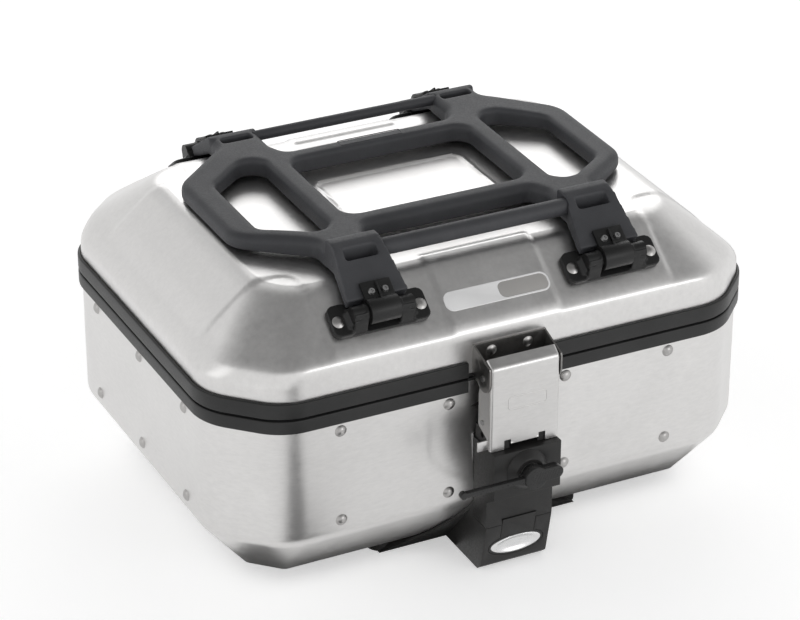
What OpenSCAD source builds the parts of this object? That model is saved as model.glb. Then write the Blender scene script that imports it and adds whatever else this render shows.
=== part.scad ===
// Aluminium top case with a luggage rack on its lid, a front latch with a key lock,
// and a plastic base that clips to a carrier plate. The origin is on the resting plane,
// under the middle of the tub. +Z is up and -Y is the latch side.

/* [Tub] */
// Width of the aluminium tub over its side faces
case_w = 479; // [430:1:580]
// Depth of the aluminium tub over its front and rear faces
case_d = 358; // [330:1:430]
// Height of the tub from its underside to the seam with the lid
tub_h = 160.8; // [140:0.1:200]
// How much each upright corner of the case is cut off, along each face
corner_cut = 46; // [40:1:54]
// Radius of the bends beside that cut
bend_r = 46; // [45.5:0.5:52]
// Thickness of the aluminium sheet
sheet = 1.5; // [1:0.1:2]
// How far the chamfer along the bottom goes in
chamfer_in = 40; // [30:1:41]
// Height of the chamfer along the bottom
chamfer_h = 48; // [36:1:52]

/* [Lid] */
// Height of the lid's upright skirt above the seam
skirt_h = 22.2; // [20:0.1:32]
// Height of the lid's curved part, from the skirt to the flat top
slope_h = 57; // [50:0.5:64]
// How far the sides come in from the skirt to the flat top
slope_in_x = 64; // [54:0.5:72]
// How far the front and rear come in from the skirt to the flat top
slope_in_y = 60; // [56:0.5:66]
// How much each corner of the flat top is cut off, along each edge
top_cut = 22; // [16:1:34]

/* [Trims and seal] */
// How far the black trims stand proud of the sheet
trim_proud = 3; // [2:0.1:4]
// Height of the lower trim's band
lower_trim_h = 11.6; // [9:0.1:14]
// Height of the upper trim's band
upper_trim_h = 13.2; // [10:0.1:16]
// Gap between the two trims at the seam
seam_gap = 1.6; // [1.2:0.1:2.5]
// Width of the rubber seal
seal_w = 2.5; // [2:0.1:2.6]

/* [Rivets] */
// Diameter of a rivet head
rivet_head_d = 10; // [8:0.1:11]
// Height of a rivet head
rivet_head_h = 2.6; // [2:0.1:3]
// Diameter of a rivet shank
rivet_shank_d = 5; // [4:0.1:6]
// Distance of the upper rivet row below the seam
rivet_row_drop = 20; // [18:0.5:24]
// Distance between the two rivet rows
rivet_row_gap = 80; // [60:1:90]
// Distance from the middle to the inner rivets of the front and rear
rivet_x_inner = 51.7; // [46:0.1:60]
// Distance from the middle to the outer rivets of the front and rear
rivet_x_outer = 145.4; // [120:0.1:170]
// Distance from the middle to the outer rivets of the sides
rivet_y_outer = 91.5; // [70:0.1:110]

/* [Base] */
// Height of the base plate below the tub
base_h = 12; // [10:0.5:18]
// Width of the base plate at its front edge
base_w = 190; // [160:1:220]
// Distance of the base plate's front edge from the middle
base_front = 131; // [120:1:135]
// Distance of the base plate's rear edge from the middle
base_rear = 122; // [100:1:130]
// Spacing of the base plate's screws across the width
base_screw_x = 140; // [100:1:160]
// Spacing of the base plate's screws along the depth
base_screw_y = 180; // [140:1:200]
// Diameter of the base screws
base_screw_d = 6; // [4:0.5:8]

/* [Latch and lock] */
// Width of the latch bracket over its ears
bracket_w = 64; // [58:1:72]
// Thickness of the latch's steel sheet
steel = 1.5; // [1.2:0.1:2]
// Reach of the bracket's ears from the tub's face
ear_reach = 29; // [27:0.5:32]
// Diameter of the lever's pivot pin
lever_pin_d = 5; // [4:0.5:6]
// Running clearance of a pin in its hole, on the radius
pin_fit = 0.05; // [0.02:0.01:0.1]
// Height of the lever's front plate
lever_h = 73; // [64:1:80]
// Diameter of the lock's round collar
collar_d = 36; // [30:1:40]
// Diameter of the lock barrel
barrel_d = 18; // [14:0.5:20]
// Width of the release button's oval
button_w = 49; // [42:1:52]
// Height of the release button's oval
button_h = 22; // [18:1:24]
// Travel of the release button
button_travel = 5; // [3:0.5:5.5]

/* [Rack] */
// Gap between the lid's top and the rack's underside
rack_gap = 2.4; // [2:0.2:6]
// Thickness of the rack
rack_t = 16; // [12:0.5:20]
// Width of the rack over its ends
rack_w = 352; // [320:1:360]
// Depth of the rack's plate over its front and rear beams
rack_d = 148; // [140:1:156]
// Distance from the middle to the centre of each foot
foot_x = 102; // [98:1:106]
// Width of a foot where it leaves the plate
foot_w = 42; // [40:1:46]
// Length of a strap slot
slot_l = 28; // [20:1:32]
// Width of a strap slot
slot_w = 9; // [6:0.5:12]
// Diameter of the bar in a rack bracket
pivot_bar_d = 13; // [11:0.5:14]
// Diameter of the sleeve round that bar
sleeve_d = 20; // [18:0.5:22]

/* [Hinges] */
// Distance from the middle to each hinge
hinge_x = 98.5; // [88:0.5:108]
// Length of a hinge
hinge_l = 60; // [45:1:80]
// Diameter of a hinge pin
hinge_pin_d = 4; // [3:0.5:5]
// Diameter of a hinge knuckle
knuckle_d = 8; // [7:0.5:10]

/* [Hidden] */
$fn = 48;
eps = 0.01;
gap = 0.4;                                  // clearance between pieces that move apart
front = -case_d / 2;                        // the tub's front face
rear = case_d / 2;
tub_z = base_h;                             // the tub's underside
seam_z = tub_z + tub_h;
sheet_top = seam_z - 3.3;                   // the tub sheet ends inside the lower trim
lid_bottom = seam_z + 3.3;
skirt_z = seam_z + skirt_h;
lid_z = skirt_z + slope_h;                  // the lid's flat top
trim_lo_top = seam_z - seam_gap / 2;
trim_up_bottom = seam_z + seam_gap / 2;
rivet_z_hi = seam_z - rivet_row_drop;
rivet_z_lo = rivet_z_hi - rivet_row_gap;
trim_leg = 2.4;                             // thickness of a trim's inner leg
leg_drop = rivet_row_drop + 8;              // how far the inner leg reaches past the seam
liner_t = 2.4;
liner_top = rivet_z_lo + 9;
seal_sunk = 0.8;                            // depth of the seal's groove
// Rows of the lid's form from the skirt up: height below the flat top, how far the sides and
// the front have come in, and which way the sheet faces, 0 being outwards and 1 upwards.
lid_rows = [[57, 0, 0, 0], [52, 1.5, 0, 0], [43.5, 9.5, 0, 0.1], [39.5, 14, 1.2, 0.35],
            [33.5, 19.6, 7, 0.59], [27, 26, 15.68, 0.59], [17, 37.5, 29.02, 0.59],
            [7.5, 49, 41.7, 0.59], [5, 52.5, 45, 0.7], [2.5, 56.5, 49.5, 0.85],
            [1, 60, 54, 0.95], [0, 64, 60, 1]];
row_h = slope_h / lid_rows[0][0];           // scales of the rows
row_x = slope_in_x / lid_rows[11][1];
row_y = slope_in_y / lid_rows[11][2];
top_bend = 36;
// The straight part of the front slope, from its upper end to its lower end.
slope_hi = [front + lid_rows[7][2] * row_y, lid_z - lid_rows[7][0] * row_h];
slope_lo = [front + lid_rows[4][2] * row_y, lid_z - lid_rows[4][0] * row_h];
slope_a = atan2(slope_hi[1] - slope_lo[1], slope_hi[0] - slope_lo[0]);
latch_half = bracket_w / 2;
trim_stop = latch_half + 1;                 // the trims' outer bands stop here, at the latch

lever_half = latch_half - steel - 0.3;
lever_foot = 12;                            // width of the feet on the lever's lower edge
lever_y = front - ear_reach;                // the lever plate's outer face
lever_pivot = [lever_y + 11.3, seam_z + 6.6];
lever_top = lever_pivot[1] + 12;
lever_bottom = lever_top - lever_h;
bracket_top = seam_z + 28.4;
claw_pivot = [lever_pivot[0] + 3, lever_bottom + 20];
claw_pin_d = 4;
claw_w = 22;
keeper_d = 5;
keeper = [front - 11, lever_bottom + 6.6];

lock_half = latch_half - 2.5;
lock_y = lever_y - 6;                       // front face of the lock housing
lock_top = lever_bottom + 12;
lock_mid = lever_bottom - 0.6;              // ledge under the lever's lower edge
lock_low = 44.8;                            // joint between the lock housing and the base nose
lock_step = 74;                             // the housing is set back below this height
step_y = front - 22.6;
lock_screw_d = 5;
lock_plate_t = 2;
lock_plate_z0 = tub_z + 52;
lock_plate_z1 = lock_mid + 2;
collar = [-1, lock_step + 25.5];            // axis of the collar, the barrel and the key, X and Z
collar_l = 6;
cam_t = 3;
cam_y = front + sheet + lock_plate_t + 1;
key_y = lock_y - 13.5;                      // middle of the key's bow
nose_bottom_y = front - 13;                 // foot of the nose on the resting plane
wing_half = 90;                             // half width of the base at its front edge
lug_slot_w = 90;
screw_head_d = 11;
screw_head_h = 4;
screw_sunk = 2;                             // the base screws' heads sit this far up

button_z = 22;
button_tab_w = 30;
button_tab_z = 50;                          // top of the button's tab
button_rear = nose_y(button_z) + 12;
tab_rear = button_rear - 5;
insert_w = button_w - 4;
insert_h = button_h - 4;
insert_t = 2.2;
spring_t = 0.8;
room_end = button_rear + button_travel + gap + spring_t;
hook_pivot = [front + 22, 8];
hook_pin_d = 3;
hook_room_w = 22;

bracket_rivet_half = 16;
bracket_rivet_z = bracket_top - 8;
badge_l = 92;
badge_w = 17;
badge_r = 7;
badge_rim = 1.5;
badge_down = 25;                            // distance of the badge from the slope's upper end

rack_bottom = lid_z + rack_gap;
rack_z = rack_bottom + rack_t;              // the rack's top face
rack_end_front = 44;
rack_end_rear = 62;
rack_side_x = 123;
rack_side_y = 88;
rack_shoulder_y = 105;                      // where the rear feet leave the plate's slanted corners
hole_half_x = 81;
hole_half_y = 56;
end_hole_in = 99;
end_hole_out = 152;
end_hole_y = 43;
end_hole_tip_x = 118;
end_hole_tip_y = 70;
bay_half = foot_x - foot_w / 2;             // the bays between the feet, outside the beams
// The bracket frames stand on the lid's slopes: u runs down the slope, n stands on it.
bracket_down = 22.3;                        // distance of the brackets from the slope's upper end
bracket_y = slope_hi[0] - bracket_down * cos(slope_a);
bracket_z = slope_hi[1] - bracket_down * sin(slope_a);
pad_t = 5.6;
pivot_bar_l = 52;
pivot_n = 12.7;                             // height of the bracket's bar above the slope
bracket_half = 41;
bracket_rivet_x = 35;
clamp_w = 25;
clamp_screw_x = 5.7;
clamp_screw_u = 13;                         // distance of the clamp's screws up the slope
clamp_screw_d = 3;
tab_n = 16;                                 // height of the clamp tab's underside above the slope
tab_l = 22;
tab_t = 3;
foot_hump = 9;                              // the front feet rise above the plate by this
foot_tip_y = bracket_y - 6;
front_slot_y = -125;
rear_slot_y = 112;
bar_l = 2 * foot_x - slot_l - 6;            // the bars end inside the feet, short of the slots
bar_front = [-118, rack_z - 1.4];
bar_front_d = 14;
bar_rear = [118, rack_z - 4.6];
bar_rear_d = 9;
leaf_t = 2;
hinge_y = rear + trim_proud + leaf_t + knuckle_d / 2 + gap;     // axis of the lid's hinges
hinge_z = seam_z;
leaf_h = 13;
leaf_rivet = [hinge_l / 2 - 9, 9.6];          // from the hinge's middle to its rivets, X and Z

// ---- shared shapes

// Rounded rectangle, centred.
module rrect(w, d, r) {
    square([w - 2 * r, d], center = true);
    square([w, d - 2 * r], center = true);
    for (x = [-1, 1], y = [-1, 1])
        translate([x * (w / 2 - r), y * (d / 2 - r)]) circle(r, $fn = 96);
}

// Points of a rectangle with cut corners and rounded bends beside each cut, anticlockwise.
bend_steps = 6;
function outline(w, d, cut, r) = [
    for (q = [0:3], b = [0:1], i = [0:bend_steps])
        let (a = 90 * q + 45 * b + 45 * i / bend_steps,
             near = r,
             far = cut + r * tan(22.5),
             at_side = (q + b) % 2 == 0,
             sx = q == 0 || q == 3 ? 1 : -1,
             sy = q < 2 ? 1 : -1)
        [sx * (w - (at_side ? near : far)) + r * cos(a),
         sy * (d - (at_side ? far : near)) + r * sin(a)]];

// The case's outline moved outwards by grow.
function case_outline(grow) = outline(case_w / 2 + grow, case_d / 2 + grow,
                                      corner_cut + (2 - sqrt(2)) * grow, bend_r + grow);

// Solid through outlines of equal length, one above the other at the given heights.
module loft(rings, heights) {
    n = len(rings[0]);
    last = len(rings) - 1;
    polyhedron(
        points = [for (k = [0:last], p = rings[k]) [p[0], p[1], heights[k]]],
        faces = concat(
            [[for (i = [0:n - 1]) i]],
            [[for (i = [0:n - 1]) last * n + n - 1 - i]],
            [for (k = [0:last - 1], i = [0:n - 1])
                [k * n + i, (k + 1) * n + i, k * n + (i + 1) % n]],
            [for (k = [0:last - 1], i = [0:n - 1])
                [k * n + (i + 1) % n, (k + 1) * n + i, (k + 1) * n + (i + 1) % n]]));
}

// Profile given in Y and Z, extruded along X about the middle.
module along_x(l) {
    rotate([90, 0, 90]) linear_extrude(l, center = true) children();
}

// Profile given in X and Z, extruded along Y from y0 to y1.
module along_y(y0, y1) {
    translate([0, y1, 0]) rotate([90, 0, 0]) linear_extrude(y1 - y0) children();
}

// Rod along X.
module rod_x(d, l) {
    rotate([0, 90, 0]) cylinder(h = l, d = d, center = true);
}

// Ring of rectangular section that follows the case's outline, offset outwards.
module outline_ring(outer, inner, z0, z1) {
    translate([0, 0, z0])
        linear_extrude(z1 - z0)
            difference() {
                polygon(case_outline(outer));
                polygon(case_outline(inner));
            }
}

// Domed rivet along -Z, its head above z = 0 and its shank length below.
module rivet(shank_l, head_h = rivet_head_h, head_d = rivet_head_d) {
    dome_r = (pow(head_d / 2, 2) + pow(head_h, 2)) / (2 * head_h);
    intersection() {
        translate([0, 0, head_h - dome_r]) sphere(dome_r, $fn = 48);
        cylinder(h = head_h + 1, d = head_d);
    }
    translate([0, 0, -shank_l - 0.5]) cylinder(h = shank_l + 0.5 + eps, d = rivet_shank_d);
    translate([0, 0, -shank_l - 1]) cylinder(h = 1, d = rivet_shank_d + 3);
}

// Puts its children, drawn with +Z outwards, at every rivet of one wall.
module at_front_rivets() {
    for (x = [-rivet_x_outer, -rivet_x_inner, rivet_x_inner, rivet_x_outer],
         z = [rivet_z_lo, rivet_z_hi])
        translate([x, front, z]) rotate([90, 0, 0]) children();
}

module at_side_rivets() {
    for (s = [-1, 1], y = [-rivet_y_outer, 0, rivet_y_outer], z = [rivet_z_lo, rivet_z_hi])
        translate([s * case_w / 2, y, z]) rotate([0, s * 90, 0]) children();
}

module at_all_tub_rivets() {
    at_front_rivets() children();
    mirror([0, 1, 0]) at_front_rivets() children();
    at_side_rivets() children();
}

// ---- tub

// Outer form of the tub, or the same form inset by t.
module tub_form(t, z1) {
    loft([case_outline(-t - chamfer_in), case_outline(-t), case_outline(-t)],
         [tub_z + t, tub_z + chamfer_h, z1]);
}

module tub_shell() {
    color("silver")
        difference() {
            tub_form(0, sheet_top);
            tub_form(sheet, sheet_top + 1);
            at_all_tub_rivets() cylinder(h = 20, d = rivet_shank_d, center = true);
            at_base_screws() cylinder(h = 60, d = base_screw_d, center = true);
            at_lock_screws() cylinder(h = 20, d = lock_screw_d, center = true);
            at_hinge_rivets(-1) cylinder(h = 30, d = rivet_shank_d, center = true);
            barrel_hole(front - 10, front + 10, 1);
        }
}

module lower_trim() {
    color("dimgray")
        difference() {
            union() {
                outline_ring(trim_proud, 0, trim_lo_top - lower_trim_h, trim_lo_top);
                outline_ring(0.5, -sheet - trim_leg, sheet_top, trim_lo_top);
                outline_ring(-sheet, -sheet - trim_leg, seam_z - leg_drop, trim_lo_top);
            }
            latch_gap(trim_lo_top - lower_trim_h - 1, trim_lo_top + 1);
            at_all_tub_rivets() cylinder(h = 20, d = rivet_shank_d, center = true);
            at_hinge_rivets(-1) cylinder(h = 30, d = rivet_shank_d, center = true);
        }
}

// The gap in the trims' outer bands at the latch.
module latch_gap(z0, z1) {
    translate([-trim_stop, front - 10, z0]) cube([2 * trim_stop, 10, z1 - z0]);
}

// Plastic tray that lines the floor and stands up behind the lower rivets.
module floor_liner() {
    color("dimgray")
        difference() {
            tub_form(sheet, liner_top);
            tub_form(sheet + liner_t, liner_top + 1);
            at_all_tub_rivets() cylinder(h = 20, d = rivet_shank_d, center = true);
            at_base_screws() cylinder(h = 60, d = base_screw_d, center = true);
            // room for the lock's back plate and its cam
            translate([-lock_half - 3, front, lock_plate_z0 - 3])
                cube([2 * lock_half + 6, 12, liner_top]);
        }
}

// The rivets are closed by a collar inside what they clamp.
module front_rivets() {
    color("lightgray") {
        for (x = [-rivet_x_outer, -rivet_x_inner, rivet_x_inner, rivet_x_outer]) {
            translate([x, front, rivet_z_hi]) rotate([90, 0, 0]) rivet(sheet + trim_leg);
            translate([x, front, rivet_z_lo]) rotate([90, 0, 0]) rivet(sheet + liner_t);
        }
    }
}

module rear_rivets() {
    mirror([0, 1, 0]) front_rivets();
}

module side_rivets() {
    color("lightgray")
        for (s = [-1, 1], y = [-rivet_y_outer, 0, rivet_y_outer]) {
            translate([s * case_w / 2, y, rivet_z_hi]) rotate([0, s * 90, 0])
                rivet(sheet + trim_leg);
            translate([s * case_w / 2, y, rivet_z_lo]) rotate([0, s * 90, 0])
                rivet(sheet + liner_t);
        }
}

// ---- base

module at_base_screws() {
    for (x = [-1, 0, 1], y = [-1, 1])
        translate([x * base_screw_x / 2, y * base_screw_y / 2, tub_z]) children();
}

// Base plate with the nose that carries the lock and the release button.
module base_plate() {
    color("dimgray")
        difference() {
            union() {
                translate([0, (base_rear - base_front) / 2, 0])
                    linear_extrude(base_h) rrect(base_w, base_front + base_rear, 12);
                nose();
            }
            // pockets on the underside for the carrier plate's lugs
            for (x = [-1, 1])
                translate([x * base_w / 4 - 16, 20, -1]) cube([32, 60, 8]);
            translate([-lug_slot_w / 2, base_rear - 22, -1]) cube([lug_slot_w, 12, 9]);
            at_base_screws() {
                cylinder(h = 60, d = base_screw_d, center = true);
                translate([0, 0, -base_h - 1])
                    cylinder(h = 1 + screw_sunk + screw_head_h, d = screw_head_d + 1);
            }
            button_room();
            hook_room();
        }
}

// Front face of the nose: how far forward it is at height z.
function nose_y(z) = nose_bottom_y + (step_y - nose_bottom_y) * z / lock_low;

// The nose reaches forward under the lock and its wings hug the chamfer.
module nose() {
    z1 = lock_low - gap / 2;
    difference() {
        union() {
            along_x(2 * lock_half)
                polygon([[-base_front + 2, 0], [nose_bottom_y + 5, 0], [nose_y(5), 5], [nose_y(z1), z1],
                         [front - eps, z1], [front - eps, tub_z + chamfer_h],
                         [front + chamfer_in, tub_z], [-base_front + 2, tub_z]]);
            for (s = [-1, 1]) nose_wing(s);
        }
        // keep the wings off the tub
        tub_form(-0.02, tub_z + chamfer_h + 1);
    }
}

// One wing: it covers the chamfer beside the lock and thins out sideways.
module nose_wing(s) {
    y0 = -base_front + 2;
    intersection() {
        along_x(2 * wing_half)
            polygon([[y0, 0], [front + chamfer_in + 7, 0], [front - 3, tub_z + chamfer_h - 2],
                     [front + 6, tub_z + chamfer_h], [y0, tub_z]]);
        along_y(front - 60, y0 + 1)
            polygon([[s * (lock_half - 1), 0], [s * wing_half, 0], [s * (wing_half - 8), 6],
                     [s * (lock_half + 22), 18], [s * (lock_half + 6), 34],
                     [s * (lock_half - 1), 52]]);
    }
}

// Front outline of the release button, an oval with a tab above it, moved outwards by grow.
module button_oval(grow) {
    h = button_h + 2 * grow;
    translate([0, button_z]) scale([(button_w + 2 * grow) / h, 1]) circle(d = h, $fn = 64);
}

module button_tab(grow) {
    translate([-button_tab_w / 2 - grow, button_z])
        square([button_tab_w + 2 * grow, button_tab_z - button_z + grow]);
}

// The room in which the button moves, with the leaf spring at its end.
module button_room() {
    along_y(step_y - 9, room_end) button_oval(gap);
    along_y(step_y - 9, tab_rear + button_travel + gap) button_tab(gap);
}

// Slot under the nose in which the release hook swings.
module hook_room() {
    translate([-hook_room_w / 2, hook_pivot[0] - 12, -1]) cube([hook_room_w, 24, 15]);
    translate([0, hook_pivot[0], hook_pivot[1]]) rod_x(hook_pin_d, hook_room_w + 6);
}

module base_screws() {
    color("silver")
        at_base_screws() {
            translate([0, 0, -base_h + screw_sunk]) cylinder(h = screw_head_h, d = screw_head_d);
            translate([0, 0, -base_h + screw_sunk + screw_head_h - eps])
                cylinder(h = base_h - screw_sunk - screw_head_h + sheet + liner_t + 7,
                         d = base_screw_d);
        }
}

module base_washers() {
    color("silver")
        at_base_screws()
            translate([0, 0, sheet + liner_t])
                difference() {
                    union() {
                        cylinder(h = 1.5, d = 16);
                        translate([0, 0, 1.5 - eps]) cylinder(h = 5, d = 11.5, $fn = 6);
                    }
                    translate([0, 0, -1]) cylinder(h = 10, d = base_screw_d);
                }
}

// ---- lock

module at_lock_screws() {
    for (x = [-1, 1], z = [lock_plate_z0 + 8, lock_plate_z1 - 8])
        translate([x * (lock_half - 8), front, z]) rotate([90, 0, 0]) children();
}

// Round hole for the lock barrel, wider than the barrel by room on the radius.
module barrel_hole(y0, y1, room) {
    along_y(y0, y1) translate(collar) circle(d = barrel_d + 2 * room);
}

// Black housing on the tub's front, set back below the step.
module lock_housing() {
    back = front - eps;
    recess_y = lever_y + steel + gap;       // the upper part stands behind the lever
    color([0.2, 0.2, 0.21])
        difference() {
            union() {
                along_x(2 * lock_half)
                    polygon([[back, lock_low + gap / 2], [step_y, lock_low + gap / 2],
                             [step_y, lock_step - 5], [lock_y, lock_step + 3],
                             [lock_y, lock_mid], [back, lock_mid]]);
                along_x(2 * (lever_half - steel - gap))
                    polygon([[back, lock_mid - 1], [recess_y, lock_mid - 1],
                             [recess_y, lock_top - 6], [recess_y + 5, lock_top], [back, lock_top]]);
            }
            // pocket for the claw, open at the top and the front
            translate([-claw_w / 2 - 1.5, lever_y - 1, lock_mid])
                cube([claw_w + 3, front - 5 - (lever_y - 1), 60]);
            translate([0, keeper[0], keeper[1]]) rod_x(keeper_d, 60);
            barrel_hole(lock_y - 1, front + 1, pin_fit);
            button_room();
            at_lock_screws() translate([0, 0, -1]) cylinder(h = 12, d = lock_screw_d);
        }
}

// Conical collar round the key.
module lock_collar() {
    color([0.16, 0.16, 0.17])
        difference() {
            translate([collar[0], lock_y, collar[1]]) rotate([90, 0, 0])
                cylinder(h = collar_l, d1 = collar_d, d2 = collar_d - 12);
            barrel_hole(lock_y - collar_l - 1, lock_y + 1, pin_fit);
        }
}

// Steel plate inside the sheet that the lock is screwed to.
module lock_backplate() {
    color("silver")
        difference() {
            translate([-lock_half, front + sheet, lock_plate_z0])
                cube([2 * lock_half, lock_plate_t, lock_plate_z1 - lock_plate_z0]);
            at_lock_screws() cylinder(h = 20, d = lock_screw_d, center = true);
            barrel_hole(front - 10, front + 10, 1);
        }
}

module lock_screws() {
    grip = sheet + lock_plate_t;
    color("silver")
        at_lock_screws() {
            translate([0, 0, -grip - 3]) cylinder(h = 3, d = 9);
            translate([0, 0, -grip - eps]) cylinder(h = grip + 10.9, d = lock_screw_d);
        }
}

module keeper_pin() {
    color("silver") translate([0, keeper[0], keeper[1]]) rod_x(keeper_d, 2 * lock_half - 8);
}

module lock_barrel() {
    face = lock_y - collar_l - 1;
    color("dimgray")
        difference() {
            along_y(face, cam_y) translate(collar) circle(d = barrel_d);
            translate([collar[0] - 4.5, face - 1, collar[1] - 1.5]) cube([9, 26, 3]);
        }
}

// Cam on the barrel's inner end. It points down at rest.
module lock_cam() {
    color("silver")
        along_y(cam_y, cam_y + cam_t)
            translate(collar)
                union() {
                    circle(9);
                    translate([-4, -18]) square([8, 18]);
                }
}

module key_blade() {
    color("silver")
        translate([collar[0] - 4.2, key_y + 1.5, collar[1] - 1.2])
            cube([8.4, 29, 2.4]);
}

// Ribbed bow of the key: a disc with a wing to the right and a slim arm to the left.
module key_bow() {
    rib_gap = 2.4;
    arm_l = 63;
    color([0.2, 0.2, 0.21])
        translate([collar[0], key_y, collar[1]]) {
            difference() {
                along_y(-3.5, 3.5)
                    union() {
                        circle(9.5);
                        translate([0, -4]) square([18, 11]);
                        translate([18, 1.5]) circle(5.5);
                    }
                for (i = [0:8])
                    translate([-1 + i * rib_gap, -4.2, 1]) rotate([0, 24, 0])
                        cube([1, 1.6, 9], center = true);
                translate([-4.2, 1.5, -1.2]) cube([8.4, 4, 2.4]);
            }
            translate([-arm_l, -2.2, -2]) cube([arm_l - 7, 4.4, 4]);
            translate([-arm_l, 0, 0]) rotate([90, 0, 0]) cylinder(h = 4.4, d = 6, center = true);
        }
}

// ---- release button and hook

// Slab that follows the nose's slanted front, from p outside its face to q inside it.
module front_slab(p, q, z0, z1) {
    along_x(2 * lock_half)
        polygon([[nose_y(z0) - p, z0], [nose_y(z0) + q, z0],
                 [nose_y(z1) + q, z1], [nose_y(z1) - p, z1]]);
}

module release_button() {
    color("dimgray")
        difference() {
            intersection() {
                union() {
                    along_y(step_y - 9, button_rear) button_oval(0);
                    along_y(step_y - 9, tab_rear) button_tab(0);
                }
                front_slab(0, 30, 0, button_tab_z + 1);
            }
            intersection() {
                along_y(step_y - 9, button_rear) insert_oval(0.1);
                front_slab(1, insert_t, 0, button_tab_z);
            }
        }
}

module insert_oval(grow) {
    h = insert_h + 2 * grow;
    translate([0, button_z]) scale([(insert_w + 2 * grow) / h, 1]) circle(d = h, $fn = 64);
}

// Bright oval plate let into the button.
module button_insert() {
    color("white")
        intersection() {
            along_y(step_y - 9, button_rear) insert_oval(0);
            front_slab(0.8, insert_t, 0, button_tab_z);
        }
}

// Leaf spring at the end of the button's room.
module button_spring() {
    color("silver") translate([-14, room_end - spring_t, button_z - 4]) cube([28, spring_t, 8]);
}

// Hook that catches the carrier plate. It swings rearwards when the button is pressed.
module release_hook() {
    color("silver")
        translate([0, hook_pivot[0], hook_pivot[1]])
            difference() {
                along_x(12) {
                    circle(3.2);
                    translate([-1.8, -7]) square([3.6, 7]);
                    translate([-3.5, -7]) square([5.3, 2.2]);
                }
                rod_x(hook_pin_d + 2 * pin_fit, 30);
            }
}

module hook_pin() {
    color("silver")
        translate([0, hook_pivot[0], hook_pivot[1]]) rod_x(hook_pin_d, hook_room_w + 4);
}

// ---- hinges

// Leaf on the trims with its knuckles; up is 1 for the lid's leaf and -1 for the tub's.
module hinge_leaf(up) {
    third = hinge_l / 3;
    spans = up > 0 ? [[-third / 2 + 0.2, third / 2 - 0.2]]
                   : [[-hinge_l / 2, -third / 2 - 0.2], [third / 2 + 0.2, hinge_l / 2]];
    leaf_y = rear + trim_proud;
    z0 = up > 0 ? hinge_z + seam_gap / 2 : hinge_z - seam_gap / 2 - leaf_h;
    difference() {
        union() {
            translate([-hinge_l / 2, leaf_y, z0]) cube([hinge_l, leaf_t, leaf_h]);
            for (s = spans)
                translate([(s[0] + s[1]) / 2, 0, 0]) {
                    translate([0, hinge_y, hinge_z]) rod_x(knuckle_d, s[1] - s[0]);
                    along_x(s[1] - s[0])
                        polygon([[leaf_y, hinge_z + up * 5], [leaf_y, hinge_z + up * 0.8],
                                 [hinge_y, hinge_z + up * 0.1], [hinge_y, hinge_z + up * 3.9],
                                 [leaf_y + 1, hinge_z + up * 6]]);
                }
        }
        bore = up > 0 ? hinge_pin_d + 2 * pin_fit : hinge_pin_d;
        translate([0, hinge_y, hinge_z]) rod_x(bore, hinge_l + 10);
        for (x = [-1, 1])
            translate([x * leaf_rivet[0], leaf_y, hinge_z + up * leaf_rivet[1]])
                rotate([-90, 0, 0]) cylinder(h = 20, d = rivet_shank_d, center = true);
    }
}

module hinge_lower_leaves() {
    color("silver") for (s = [-1, 1]) translate([s * hinge_x, 0, 0]) hinge_leaf(-1);
}

module hinge_upper_leaves() {
    color("silver") for (s = [-1, 1]) translate([s * hinge_x, 0, 0]) hinge_leaf(1);
}

module hinge_pins() {
    color("lightgray")
        for (s = [-1, 1])
            translate([s * hinge_x, hinge_y, hinge_z]) rod_x(hinge_pin_d, hinge_l + 1);
}

module at_hinge_rivets(up) {
    for (s = [-1, 1], x = [-1, 1])
        translate([s * hinge_x + x * leaf_rivet[0], rear + trim_proud + leaf_t,
                   hinge_z + up * leaf_rivet[1]])
            rotate([-90, 0, 0]) children();
}

module hinge_rivets(up) {
    color("lightgray")
        at_hinge_rivets(up) rivet(leaf_t + trim_proud + sheet + trim_leg, 1.5, 7.4);
}

module hinge_lower_rivets() {
    hinge_rivets(-1);
}

module hinge_upper_rivets() {
    hinge_rivets(1);
}

// ---- lid

// Outline of the lid at one row, inset by t.
function lid_ring(row, t) =
    let (up = 1 - row[0] / lid_rows[0][0],
         in = t * cos(90 * row[3]))
    outline(case_w / 2 - row[1] * row_x - in, case_d / 2 - row[2] * row_y - in,
            corner_cut + (top_cut - corner_cut) * up - (2 - sqrt(2)) * in,
            bend_r + (top_bend - bend_r) * up - in);

// Outer form of the lid, or the same form inset by t.
module lid_form(t, z0) {
    loft(concat([case_outline(-t)], [for (row = lid_rows) lid_ring(row, t)]),
         concat([z0], [for (row = lid_rows) lid_z - row[0] * row_h - t * sin(90 * row[3])]));
}

module lid_shell() {
    color("silver")
        difference() {
            lid_form(0, lid_bottom);
            lid_form(sheet, lid_bottom - 1);
            at_bracket_rivets() cylinder(h = 30, d = rivet_shank_d, center = true);
            at_rack_rivets() cylinder(h = 20, d = rivet_shank_d, center = true);
            at_hinge_rivets(1) cylinder(h = 30, d = rivet_shank_d, center = true);
        }
}

module upper_trim() {
    color("dimgray")
        difference() {
            union() {
                outline_ring(trim_proud, 0, trim_up_bottom, trim_up_bottom + upper_trim_h);
                outline_ring(0.5, -sheet - trim_leg, trim_up_bottom, lid_bottom);
                outline_ring(-sheet, -sheet - trim_leg, trim_up_bottom, skirt_z - 1);
                // a taller stretch behind the latch's bracket takes its rivets
                translate([-latch_half, front + sheet, trim_up_bottom])
                    cube([bracket_w, trim_leg, leg_drop]);
            }
            latch_gap(trim_up_bottom - 1, trim_up_bottom + upper_trim_h + 1);
            at_bracket_rivets() cylinder(h = 30, d = rivet_shank_d, center = true);
            at_hinge_rivets(1) cylinder(h = 30, d = rivet_shank_d, center = true);
            outline_ring(-0.6, -0.8 - seal_w, trim_up_bottom - 1, trim_up_bottom + seal_sunk);
        }
}

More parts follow.
